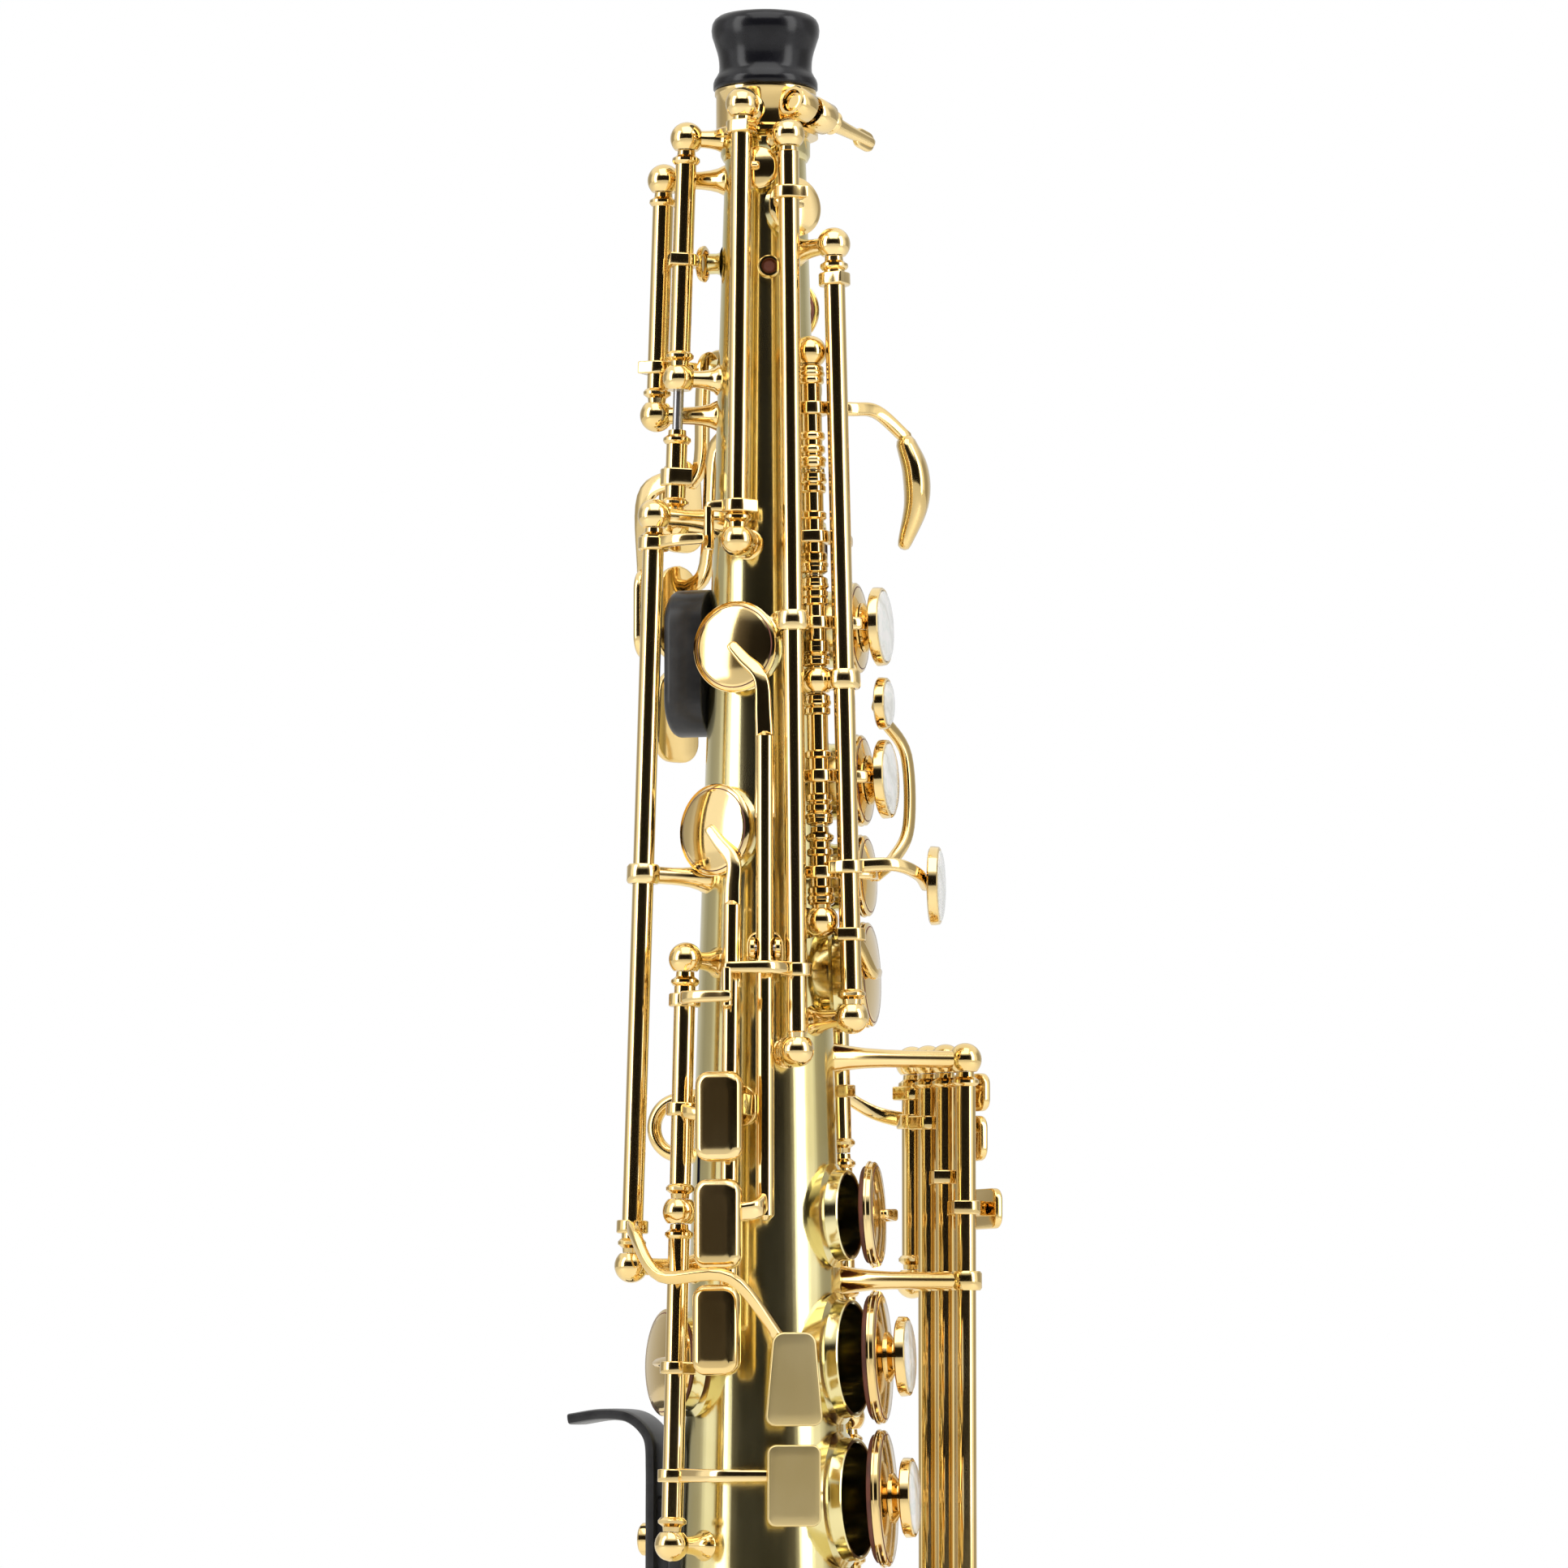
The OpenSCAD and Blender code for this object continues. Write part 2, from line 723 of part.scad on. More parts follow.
// ---- fixed fittings -----------------------------------------------------------------------
module thumb_rest() {
    color(black_resin)
        difference() {
            hull() {
                for (z = [437.5, 453])
                    facing(180, tube_radius(z) + 1, z) {
                        cylinder(r = 8, h = 1, $fn = 32);
                        cylinder(r = 6, h = 7, $fn = 32);
                        cylinder(r = 3, h = 8, $fn = 24);
                    }
            }
            tube_cone(small, 400, 480);
        }
}

hook_z = 280.5;
hook_width = 13;
hook_bend = 9;
hook_plate = 2.4;
// Gap between the tube and the hook's stem, filled by the base and its guide block.
hook_stand = 5.1;

module thumb_hook() {
    root = tube_radius(hook_z);
    color(black_resin)
        difference() {
            union() {
                facing(180, root - 1, hook_z - 18) {
                    hull()
                        for (x = [-16, 16]) translate([x, 0, 0]) cylinder(r = 6, h = 3.4, $fn = 24);
                    translate([-9, -4.5, 0]) cube([18, 9, hook_stand + 1.4]);
                    cylinder(r = 3.4, h = hook_stand + hook_plate + 2.6);
                }
                translate([0, hook_width / 2, 0]) rotate([90, 0, 0])
                    linear_extrude(height = hook_width) hook_outline(root + hook_stand);
            }
            tube_cone(small, 230, 320);
        }
}

// Side view of the hook: a straight stem, a bend away from the tube, then the tongue.
module hook_outline(stem) {
    tip = stem + hook_reach - 10;
    translate([-(stem + hook_plate), hook_z - 34]) square([hook_plate, 34]);
    translate([-(stem + hook_bend), hook_z])
        intersection() {
            difference() {
                circle(r = hook_bend);
                circle(r = hook_bend - hook_plate);
            }
            square(hook_bend);
        }
    translate([-tip, hook_z + hook_bend - hook_plate])
        square([tip - stem - hook_bend, hook_plate]);
    translate([-tip, hook_z + hook_bend - hook_plate / 2]) circle(d = hook_plate);
}

strap_ring_z = 348;
// Distance from the tube to the ring's centre; the ring's inner part is sunk in its base.
strap_ring_stand = 3.8;

module strap_ring() {
    out = tube_radius(strap_ring_z) + strap_ring_stand;
    color(key_gold)
        difference() {
            union() {
                rotate([0, 0, 180]) translate([out, 0, strap_ring_z]) rotate([90, 0, 0])
                    rotate_extrude()
                        translate([strap_ring_radius + strap_ring_wire, 0])
                            circle(r = strap_ring_wire, $fn = 24);
                facing(180, tube_radius(strap_ring_z) - 1, strap_ring_z)
                    translate([-8, -3, 0]) cube([16, 6, 1.9]);
            }
            tube_cone(small, 330, 370);
        }
}

guard_gap = 2;

// Guards over the low cups: a ring on three feet, with a screw-in bumper at its centre.
module guard(hole, feet) {
    at_hole(hole) {
        top = cup_top(hole) + 7.5;
        r = 7;
        reach = cup_radius(hole) + guard_gap;
        translate([0, 0, top]) difference() {
            cylinder(r = r, h = 1.8);
            translate([0, 0, -1]) cylinder(r = r - 2.4, h = 4);
        }
        for (a = feet)
            rotate([0, 0, a]) {
                round_bar([r - 1.2, 0, top + 0.9], [reach, 0, top - 2], 1.2);
                translate([reach, 0, top - 2]) sphere(r = 1.7);
                translate([reach, 0, -6]) cylinder(r = 1.2, h = top + 4);
            }
    }
}

module key_guards() {
    color(key_gold)
        difference() {
            union() {
                guard(hole_low_c, [0, 180]);
                guard(hole_low_b, [0, 180]);
            }
            tube_cone(small, bell_joint, body_length);
        }
}

// ---- octave mechanism ---------------------------------------------------------------------
// Ends of a hinge tube that runs up to a post below or above it.
function above(post) = post + ball_face + end_play;
function below(post) = post - ball_face - end_play;
// Half the play between two tubes that meet end to end on one rod.
meet = 0.1;

octave_lever_end = 494;
octave_plate = [180, 26.5, 456];

module octave_thumb_lever() {
    line = octave_upper_line;
    color(key_gold)
        lever(line, above(474), octave_lever_end) {
            collar(line, 484);
            strap([
                line_point(line, 484),
                polar(-170, 25.5, 480),
                polar(octave_plate[0], octave_plate[1], octave_plate[2] + 8)
            ]);
            facing(octave_plate[0], octave_plate[1] - 0.9, octave_plate[2])
                touch_plate(19, 12, 1.8, 0.8);
        }
}

module octave_upper_key() {
    color(key_gold)
        cup_key(octave_upper_line, above(505), below(556), hole_octave_upper, 530);
}

module octave_lower_key() {
    color(key_gold)
        cup_key(octave_lower_line, above(498), below(548), hole_octave_lower, 508);
}

// ---- high keys on two rods ------------------------------------------------------------------
// The driving lever lies over a pin on the driven lever and presses it toward the bore.
module link_pin(point, drop) {
    translate([point[0], point[1], point[2] - drop]) cylinder(r = 1.1, h = drop + arm_width / 2);
}

link_gap = 0.3;

module high_fsharp_cup() {
    line = high_fsharp_line;
    tip = polar(-110, line_radius(line, 475) + 1.5, 476);
    color(key_gold)
        cup_key(line, above(469), below(561), hole_high_fsharp, 556) {
            collar(line, 476);
            strap([line_point(line, 476), tip]);
            link_pin(tip, 9);
            pad(hole_high_fsharp);
        }
}

module high_fsharp_touch() {
    line = fsharp_touch_line;
    tip = polar(-109, line_radius(high_fsharp_line, 469) + 4.2, 469);
    color(key_gold)
        lever(line, above(319), below(475)) {
            collar(line, 469);
            strap([line_point(line, 469), polar(-124, 24, 469), tip]);
            collar(line, 327);
            strap([
                line_point(line, 327),
                polar(-124, 34, 325.5),
                polar(-110, 34.5, 316.5),
                polar(-84, 34, 316.5),
                polar(-64, 31.5, 302)
            ]);
            facing(-61, 30.5, 295.5) touch_plate(19, 11, 1.4, 0.5);
        }
}

module high_e_cup() {
    line = high_e_line;
    tip = polar(-88, 28, 379.5);
    color(key_gold)
        cup_key(line, above(363), below(554.5), hole_high_e, 542) {
            collar(line, 379.5);
            strap([line_point(line, 379.5), polar(-70, 27.5, 379.5), tip]);
            link_pin(tip, 8);
        }
}

module high_e_touch() {
    line = trill_line;
    tip = polar(-86, 30.6, 373.5);
    color(key_gold)
        lever(line, above(330), below(382)) {
            collar(line, 373.5);
            strap([line_point(line, 373.5), polar(-104, 29.5, 373.5), tip]);
            collar(line, 351);
            strap([line_point(line, 351), polar(-108, 26.4, 350), polar(-96, 27, 349)]);
            side_touch(349);
        }
}

module fsharp_trill_key() {
    line = trill_line;
    color(key_gold)
        cup_key(line, above(262), below(330), hole_fsharp_trill, 298) {
            collar(line, 276);
            strap([line_point(line, 276), polar(-90, 31, 276), polar(-66, 31.5, 276)]);
            facing(-61, 30.5, 274) touch_plate(16.5, 11, 1.4, 0.5);
        }
}

// ---- side keys --------------------------------------------------------------------------------
side_touch_angle = -92;
side_touch_height = 11.5;

module side_touch(z) {
    facing(side_touch_angle, tube_radius(z) + side_touch_height, z)
        touch_plate(side_touch_length, side_touch_width);
}

// A straight bar rocking in a fork: its cup lifts as the touch below goes in.
module rocker(line, pivot, z_low, z_high, hole, touch_z) {
    difference() {
        union() {
            on_line(line) translate([0, 0, z_low]) cylinder(r = bar_radius, h = z_high - z_low);
            for (z = [z_low, z_high]) on_line(line) translate([0, 0, z]) sphere(r = bar_radius);
            key_cup(hole);
            strap([line_point(line, z_high), cup_edge(hole, line), cup_crown(hole)]);
            strap([
                line_point(line, z_low),
                polar(
                    (line[0] * 3 + side_touch_angle) / 4,
                    tube_radius(z_low) + side_touch_height + 0.4,
                    z_low
                ),
                polar(side_touch_angle, tube_radius(touch_z) + side_touch_height + 0.4, touch_z)
            ]);
            side_touch(touch_z);
        }
        pad_space(hole);
        fork_frame(line, pivot)
            cylinder(r = pin_radius + running_clearance, h = 10, center = true);
    }
    pad(hole);
}

module side_c_key() {
    color(key_gold) rocker(side_c_line, side_c_pivot, 330, 427, hole_side_c, 327);
}

module side_bflat_key() {
    color(key_gold) rocker(side_bflat_line, side_bflat_pivot, 308, 392, hole_side_bflat, 305.5);
}

// ---- palm keys and front F ----------------------------------------------------------------------
module palm_key(z_low, z_high, hole, arm_z, touch_z, touch_angle, height, run = 11) {
    start = z_low + arm_width / 2 + 1.6;
    out = tube_radius(touch_z);
    color(key_gold) {
        cup_key(palm_line, z_low, z_high, hole, arm_z) {
            collar(palm_line, start);
            strap([
                line_point(palm_line, start),
                polar(palm_line[0] + 7, out + run, start - 2),
                polar(touch_angle - 7, out + run + 0.5, touch_z + 10),
                polar(touch_angle - 5, out + height + 0.8, touch_z + 5)
            ]);
            facing(touch_angle, tube_radius(touch_z) + height, touch_z)
                touch_plate(20, 12, 1.8, 1.4);
        }
        pad(hole);
    }
}

palm_split_low = 490;
palm_split_high = 508;

module palm_d_key() {
    palm_key(above(448), palm_split_low - meet, hole_palm_d, 484, 436, 149, 16);
}

module palm_eflat_key() {
    palm_key(palm_split_low + meet, palm_split_high - meet, hole_palm_eflat, 502, 458, 148, 17);
}

module palm_f_key() {
    palm_key(palm_split_high + meet, below(526), hole_palm_f, 519, 481, 146, 18, 15.5);
}

module front_f_key() {
    line = upper_stack_line;
    color(key_gold)
        lever(line, stack_splits[2] + meet, below(509)) {
            collar(line, 497);
            strap([line_point(line, 497), polar(4, 22, 497), polar(13, 30, 492)]);
            // Teardrop touch, thick at the finger end.
            hull() {
                translate(polar(13, 29.5, 490)) sphere(r = 2.2, $fn = 16);
                translate(polar(15, 31.5, 481)) sphere(r = 3.4, $fn = 20);
                translate(polar(15, 29.5, 470)) sphere(r = 2.4, $fn = 16);
            }
        }
}

// ---- upper stack ----------------------------------------------------------------------------------
// Heights at which neighbouring hinge tubes meet.
stack_splits = [409.5, 462, 484];

module upper_key(z_low, z_high, hole, arm_z) {
    swing(upper_stack_line, -upper_open)
        cup_key(upper_stack_line, z_low, z_high, hole, arm_z) children();
}

module c_vent_key() {
    color(key_gold)
        swing(upper_stack_line, -upper_open) {
            cup_key(
                upper_stack_line, stack_splits[1] + meet, stack_splits[2] - meet, hole_c_vent, 470
            );
            pad(hole_c_vent);
        }
}

module b_key() {
    color(key_gold)
        upper_key(above(440), stack_splits[1] - meet, hole_b, 452)
            cup_pearl_holder(hole_b, pearl_radius);
}

module bis_key() {
    color(key_gold)
        upper_key(above(390), stack_splits[0] - meet, hole_bis, 400) {
            bis_arm();
            bis_seat() pearl_holder(bis_pearl_radius);
        }
}

bis_pearl_z = 436;

// The small bis pearl stands between the two large ones, on an arm of its own.
module bis_seat() {
    facing(hole_a[1], tube_radius(bis_pearl_z) + cup_top(hole_bis) + 2.2, bis_pearl_z) children();
}

module bis_arm() {
    out = tube_radius(hole_a[0]) + cup_top(hole_a) + 7.9;
    strap([cup_crown(hole_bis), polar(36, out, 408), polar(41, out, 426)], 3);
    strap([polar(41, out, 426), polar(33, out - 5.2, 433), polar(20, out - 6.9, bis_pearl_z)], 3);
}

module a_key() {
    color(key_gold)
        upper_key(stack_splits[0] + meet, below(440), hole_a, 420)
            cup_pearl_holder(hole_a, pearl_radius);
}

module b_pad() { color(pad_leather) swing(upper_stack_line, -upper_open) pad(hole_b); }

module bis_pad() { color(pad_leather) swing(upper_stack_line, -upper_open) pad(hole_bis); }

module a_pad() { color(pad_leather) swing(upper_stack_line, -upper_open) pad(hole_a); }

module b_pearl() {
    color(pearl_white) swing(upper_stack_line, -upper_open) on_cup(hole_b) pearl(pearl_radius);
}

module bis_pearl() {
    color(pearl_white) swing(upper_stack_line, -upper_open) bis_seat() pearl(bis_pearl_radius);
}

module a_pearl() {
    color(pearl_white) swing(upper_stack_line, -upper_open) on_cup(hole_a) pearl(pearl_radius);
}

// ---- G key --------------------------------------------------------------------------------------------
g_open = 8;

module g_seat() {
    facing(20, 32, 398) children();
}

module g_key() {
    color(key_gold)
        swing(g_line, -g_open)
            cup_key(g_line, above(370), below(531.5), hole_g, 387) {
                collar(g_line, 401);
                strap([line_point(g_line, 401), polar(6, 30.5, 400), polar(20, 31.6, 398)]);
                g_seat() pearl_holder(pearl_radius);
                collar(g_line, 524);
            }
}

module g_pad() { color(pad_leather) swing(g_line, -g_open) pad(hole_g); }

module g_pearl() { color(pearl_white) swing(g_line, -g_open) g_seat() pearl(pearl_radius); }

// ---- G sharp --------------------------------------------------------------------------------------------
module gsharp_cup() {
    color(key_gold) {
        cup_key(lower_stack_line, lower_splits[2] + meet, below(374), hole_gsharp, 356);
        pad(hole_gsharp);
    }
}

// A touch of the left-hand table, on a strap that rises clear of the other rods.
table_radius = 48;

module table_touch(line, z, angle, touch_z, length, width, radius = table_radius) {
    collar(line, z);
    strap([
        line_point(line, z),
        polar(line[0] + (angle - line[0]) * 0.4, radius - 1.4, z),
        polar(angle, radius + 0.4, touch_z)
    ], 4);
    facing(angle, radius, touch_z) touch_plate(length, width, 1.8, 0.8);
}

module gsharp_touch() {
    line = gsharp_touch_line;
    color(key_gold)
        lever(line, above(bracket_middle), below(bracket_top)) {
            table_touch(line, 356, 50, 356, 8, 20);
            strap([line_point(line, 350), polar(68, 36, 352), polar(76, 30, 356)], 4);
        }
}

// ---- lower stack ------------------------------------------------------------------------------------------
lower_splits = [256, 316, 343];

module lower_key(z_low, z_high, hole, arm_z) {
    swing(lower_stack_line, lower_open)
        cup_key(lower_stack_line, z_low, z_high, hole, arm_z) children();
}

module fsharp_aux_key() {
    color(key_gold)
        lower_key(lower_splits[1] + meet, lower_splits[2] - meet, hole_fsharp_aux, 329.5);
}

module f_key() {
    color(key_gold)
        lower_key(above(288), lower_splits[1] - meet, hole_f, 300)
            cup_pearl_holder(hole_f, pearl_radius);
}

module e_key() {
    color(key_gold)
        lower_key(lower_splits[0] + meet, below(288), hole_e, 271)
            cup_pearl_holder(hole_e, pearl_radius);
}

module d_key() {
    color(key_gold)
        lower_key(above(222), lower_splits[0] - meet, hole_d, 239)
            cup_pearl_holder(hole_d, pearl_radius);
}

module lower_pad(hole) { color(pad_leather) swing(lower_stack_line, lower_open) pad(hole); }

module lower_pearl(hole) {
    color(pearl_white) swing(lower_stack_line, lower_open) on_cup(hole) pearl(pearl_radius);
}

module fsharp_aux_pad() { lower_pad(hole_fsharp_aux); }

module f_pad() { lower_pad(hole_f); }

module e_pad() { lower_pad(hole_e); }

module d_pad() { lower_pad(hole_d); }

module f_pearl() { lower_pearl(hole_f); }

module e_pearl() { lower_pearl(hole_e); }

module d_pearl() { lower_pearl(hole_d); }

// ---- low keys -----------------------------------------------------------------------------------------------
low_c_open = 8;

module low_eflat_key() {
    line = low_front_line;
    color(key_gold) {
        cup_key(line, above(160), below(217), hole_low_eflat, 203) {
            collar(line, 190);
            strap([line_point(line, 190), polar(-30, 34, 192), polar(-22, 36.6, 198)]);
            facing(-20, 36, 200) touch_plate(15, 17, 1.8, 1.2);
        }
        pad(hole_low_eflat);
    }
}

module low_c_key() {
    line = low_front_line;
    color(key_gold)
        swing(line, -low_c_open)
            cup_key(line, above(107), below(160), hole_low_c, 131) {
                collar(line, 149);
                strap([
                    line_point(line, 149),
                    polar(-36, 33.5, 152),
                    polar(-26, 35.6, 168),
                    polar(-22, 36.6, 178)
                ]);
                facing(-20, 36, 180) touch_plate(15, 17, 1.8, 1.2);
            }
}

module low_c_pad() { color(pad_leather) swing(low_front_line, -low_c_open) pad(hole_low_c); }

module low_csharp_key() {
    line = low_csharp_line;
    color(key_gold) {
        cup_key(line, above(150), below(bracket_top), hole_low_csharp, 168)
            table_touch(line, 349.6, 42, 346.3, 9.5, 8);
        pad(hole_low_csharp);
    }
}

module low_b_key() {
    line = low_b_line;
    color(key_gold)
        swing(line, bell_key_side * bell_key_open)
            cup_key(line, above(76), below(bracket_top), hole_low_b, 91)
                table_touch(line, 338, 56, 345, 9.5, 8);
}

module low_bflat_key() {
    line = low_bflat_line;
    color(key_gold)
        swing(line, bell_key_side * bell_key_open)
            cup_key(line, above(44), below(bracket_top), hole_low_bflat, 53)
                table_touch(line, 331.5, 48, 331.5, 8.5, 20, table_radius + 1.5);
}

// The low B and B flat cups lie on the +angle side of their rods and stand open outward.
bell_key_side = -1;

module low_b_pad() {
    color(pad_leather) swing(low_b_line, bell_key_side * bell_key_open) pad(hole_low_b);
}

module low_bflat_pad() {
    color(pad_leather) swing(low_bflat_line, bell_key_side * bell_key_open) pad(hole_low_bflat);
}

// ---- assembly --------------------------------------------------------------------------------------------------
body_tube();
bell();
neck_receiver();
posts();
pivot_rods();
thumb_rest();
thumb_hook();
strap_ring();
key_guards();
needle_springs();
end_plug();
neck_screw();
octave_thumb_lever();
octave_upper_key();
octave_lower_key();
high_fsharp_touch();
high_fsharp_cup();
high_e_touch();
high_e_cup();
side_c_key();
side_bflat_key();
fsharp_trill_key();
palm_d_key();
palm_eflat_key();
palm_f_key();
front_f_key();
c_vent_key();
b_key();
bis_key();
a_key();
g_key();
gsharp_cup();
gsharp_touch();
fsharp_aux_key();
f_key();
e_key();
d_key();
low_eflat_key();
low_c_key();
low_csharp_key();
low_b_key();
low_bflat_key();
b_pad();
bis_pad();
a_pad();
g_pad();
fsharp_aux_pad();
f_pad();
e_pad();
d_pad();
low_c_pad();
low_b_pad();
low_bflat_pad();
b_pearl();
bis_pearl();
a_pearl();
g_pearl();
f_pearl();
e_pearl();
d_pearl();
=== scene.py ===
"""Looks of a straight soprano saxophone body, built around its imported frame.

Sizes are in millimetres and angles in degrees until a piece is finished; the frame is in
metres. A hinge line or a tone hole is placed by its angle round the tube and its height.
"""

import json
import logging
import math
from collections.abc import Iterable, Sequence
from dataclasses import dataclass
from enum import Enum
from typing import ClassVar

import bmesh
import bpy
from mathutils import Matrix, Vector

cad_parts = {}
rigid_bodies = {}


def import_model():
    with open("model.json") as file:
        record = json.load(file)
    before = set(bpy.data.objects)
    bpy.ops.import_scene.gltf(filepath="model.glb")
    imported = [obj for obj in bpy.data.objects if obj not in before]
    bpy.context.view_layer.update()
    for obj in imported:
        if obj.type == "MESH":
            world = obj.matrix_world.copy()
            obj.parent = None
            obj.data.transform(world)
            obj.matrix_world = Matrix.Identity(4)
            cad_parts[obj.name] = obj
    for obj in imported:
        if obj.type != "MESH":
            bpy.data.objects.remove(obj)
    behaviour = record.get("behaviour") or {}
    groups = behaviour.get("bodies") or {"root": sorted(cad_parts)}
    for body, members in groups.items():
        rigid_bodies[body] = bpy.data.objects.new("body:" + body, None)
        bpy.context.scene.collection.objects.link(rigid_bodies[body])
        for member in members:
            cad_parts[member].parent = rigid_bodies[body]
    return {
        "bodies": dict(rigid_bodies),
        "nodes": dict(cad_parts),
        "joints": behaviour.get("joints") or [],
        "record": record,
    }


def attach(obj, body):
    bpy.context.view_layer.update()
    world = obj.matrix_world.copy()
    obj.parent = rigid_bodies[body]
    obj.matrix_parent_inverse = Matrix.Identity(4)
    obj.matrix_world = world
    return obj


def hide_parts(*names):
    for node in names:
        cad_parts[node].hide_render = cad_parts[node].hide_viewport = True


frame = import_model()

log = logging.getLogger("soprano")

# The tube and its ends
MM = 0.001
ROOT_RADIUS = 25.6
TAPER = 0.031
LEAN = math.degrees(math.atan(TAPER))
BODY_TOP = 556.0
RECEIVER_TOP = 566.0
RECEIVER_RADIUS = 10.4
PLUG_HEIGHT = 16.0

# Radii of what turns on the hinge lines, and the room between them
HINGE = 2.2
BEAD = 2.75
COLLAR = 3.3
ROD = 1.1
BALL = 3.5
BALL_FACE = 2.5
PLAY = 0.12
MEET = 0.1
FORK_EAR = 2.65
SIDE_BAR = 1.9
SIDE_TOUCH_ANGLE = -92.0

# Pearls and their holders
FINGER_PEARL = 7.4
BIS_PEARL = 4.6
PEARL_BASE = 0.9
PEARL_EDGE = 1.6

# Heights of the left-hand table's brackets
TABLE_FOOT = 219.5
TABLE_MIDDLE = 316.2
TABLE_HEAD = 362.5

# Chimney height and pad thickness
LARGE = (3.2, 3.0)
SMALL = (1.8, 1.4)

Point = Vector
Profile = Sequence[tuple[float, float]]


def polar(angle: float, radius: float, z: float) -> Point:
    """A point at an angle round the bore, a distance from its axis and a height."""
    a = math.radians(angle)
    return Vector((radius * math.cos(a), radius * math.sin(a), z))


def turn(angle: float, axis: str) -> Matrix:
    """A rotation by degrees about a named axis."""
    return Matrix.Rotation(math.radians(angle), 4, axis)


def shift(x: float = 0.0, y: float = 0.0, z: float = 0.0) -> Matrix:
    """A plain translation."""
    return Matrix.Translation((x, y, z))


def tube_radius(z: float) -> float:
    """Outer radius of the body tube at a height."""
    return ROOT_RADIUS - TAPER * z


def facing(angle: float, radius: float, z: float) -> Matrix:
    """Local Z straight away from the bore, local X down the instrument."""
    return turn(angle, "Z") @ shift(radius, 0, z) @ turn(90, "Y")


@dataclass(frozen=True)
class Line:
    """A hinge line.

    Attributes:
        angle: degrees round the tube.
        radius: distance from the bore's axis at height 0.
        lean: degrees that it leans toward the bore.
    """

    angle: float
    radius: float
    lean: float = LEAN

    def frame(self, z: float = 0.0) -> Matrix:
        """Local Z along the line and local X outward, a distance along it.

        Args:
            z: distance along the line from height 0.

        Returns:
            The frame.
        """
        return (
            turn(self.angle, "Z") @ shift(self.radius) @ turn(-self.lean, "Y") @ shift(z=z)
        )

    def radius_at(self, z: float) -> float:
        """Distance from the bore's axis at a height."""
        return self.radius - z * math.tan(math.radians(self.lean))

    def at(self, z: float) -> Point:
        """The point of the line at a height."""
        return polar(self.angle, self.radius_at(z), z)

    def swing(self, degrees: float) -> Matrix:
        """A turn about the line; a positive one brings the +angle side inward."""
        frame = self.frame()
        return frame @ turn(degrees, "Z") @ frame.inverted()


def leaned(angle: float, height: float) -> Line:
    """A line that follows the tube's cone at a height above it."""
    return Line(angle, ROOT_RADIUS + height)


def upright(angle: float, radius: float) -> Line:
    """A line parallel to the bore's axis."""
    return Line(angle, radius, 0.0)


@dataclass(frozen=True)
class Hole:
    """A tone hole with its chimney height and pad thickness."""

    z: float
    angle: float
    bore: float
    sizes: tuple[float, float] = LARGE

    @property
    def chimney(self) -> float:
        """Chimney height above the tube."""
        return self.sizes[0]

    @property
    def pad_radius(self) -> float:
        """Radius of the pad."""
        return self.bore + 1.7

    @property
    def cup_radius(self) -> float:
        """Outer radius of the cup."""
        return self.bore + 2.65

    @property
    def base(self) -> float:
        """Height of the closed pad's face above the tube."""
        return self.chimney + 0.2

    @property
    def top(self) -> float:
        """Height of the closed cup's crown above the tube."""
        return self.base + self.sizes[1] + 0.9

    def frame(self, height: float = 0.0) -> Matrix:
        """Local Z straight out of the hole from a height above the tube."""
        return leaned(self.angle, 0).frame(self.z) @ turn(90, "Y") @ shift(z=height)

    def crown(self, lift: float = 0.0) -> Point:
        """The point over the middle of the closed cup."""
        return self.frame(self.top + lift).translation

    def edge(self, line: Line, share: float = 0.8) -> Point:
        """The point over the cup's edge that faces a hinge line."""
        side = 1 if line.angle > self.angle else -1
        return self.frame(self.top + 0.5) @ Vector((0, side * self.cup_radius * share, 0))


LOW_BFLAT = Hole(53, 100, 14.6)
LOW_B = Hole(91, 100, 14.0)
LOW_C = Hole(131, 0, 13.4)
LOW_CSHARP = Hole(166, 100, 12.0)
LOW_EFLAT = Hole(203, -96, 11.6)
HOLE_D = Hole(239, 0, 12.4)
HOLE_E = Hole(271, 0, 11.6)
HOLE_F = Hole(300, 0, 11.2)
FSHARP_TRILL = Hole(299, -140, 8.6)
FSHARP_AUX = Hole(329.5, 0, 8.4)
GSHARP = Hole(356, 99, 8.4)
HOLE_G = Hole(379.5, 15, 8.4)
SIDE_BFLAT = Hole(409, -113, 7.0, SMALL)
BIS = Hole(400, 15, 6.0)
HOLE_A = Hole(420, 15, 7.0)
HOLE_B = Hole(452, 15, 7.0)
SIDE_C = Hole(447, -97, 6.9, SMALL)
C_VENT = Hole(470, 15, 3.6, SMALL)
PALM_D = Hole(486, 85, 5.2, SMALL)
PALM_EFLAT = Hole(504, 85, 4.8, SMALL)
PALM_F = Hole(521, 85, 4.4, SMALL)
HIGH_E = Hole(540, -40, 3.6, SMALL)
HIGH_FSHARP = Hole(548, -80, 1.8, SMALL)
OCTAVE_UPPER = Hole(530, -178, 1.2, (3.2, 1.4))
OCTAVE_LOWER = Hole(508, -195, 1.2, (3.2, 1.4))
HOLES = (
    LOW_BFLAT, LOW_B, LOW_C, LOW_CSHARP, LOW_EFLAT, HOLE_D, HOLE_E, HOLE_F, FSHARP_TRILL,
    FSHARP_AUX, GSHARP, HOLE_G, SIDE_BFLAT, BIS, HOLE_A, HOLE_B, SIDE_C, C_VENT, PALM_D,
    PALM_EFLAT, PALM_F, HIGH_E, HIGH_FSHARP, OCTAVE_UPPER, OCTAVE_LOWER,
)

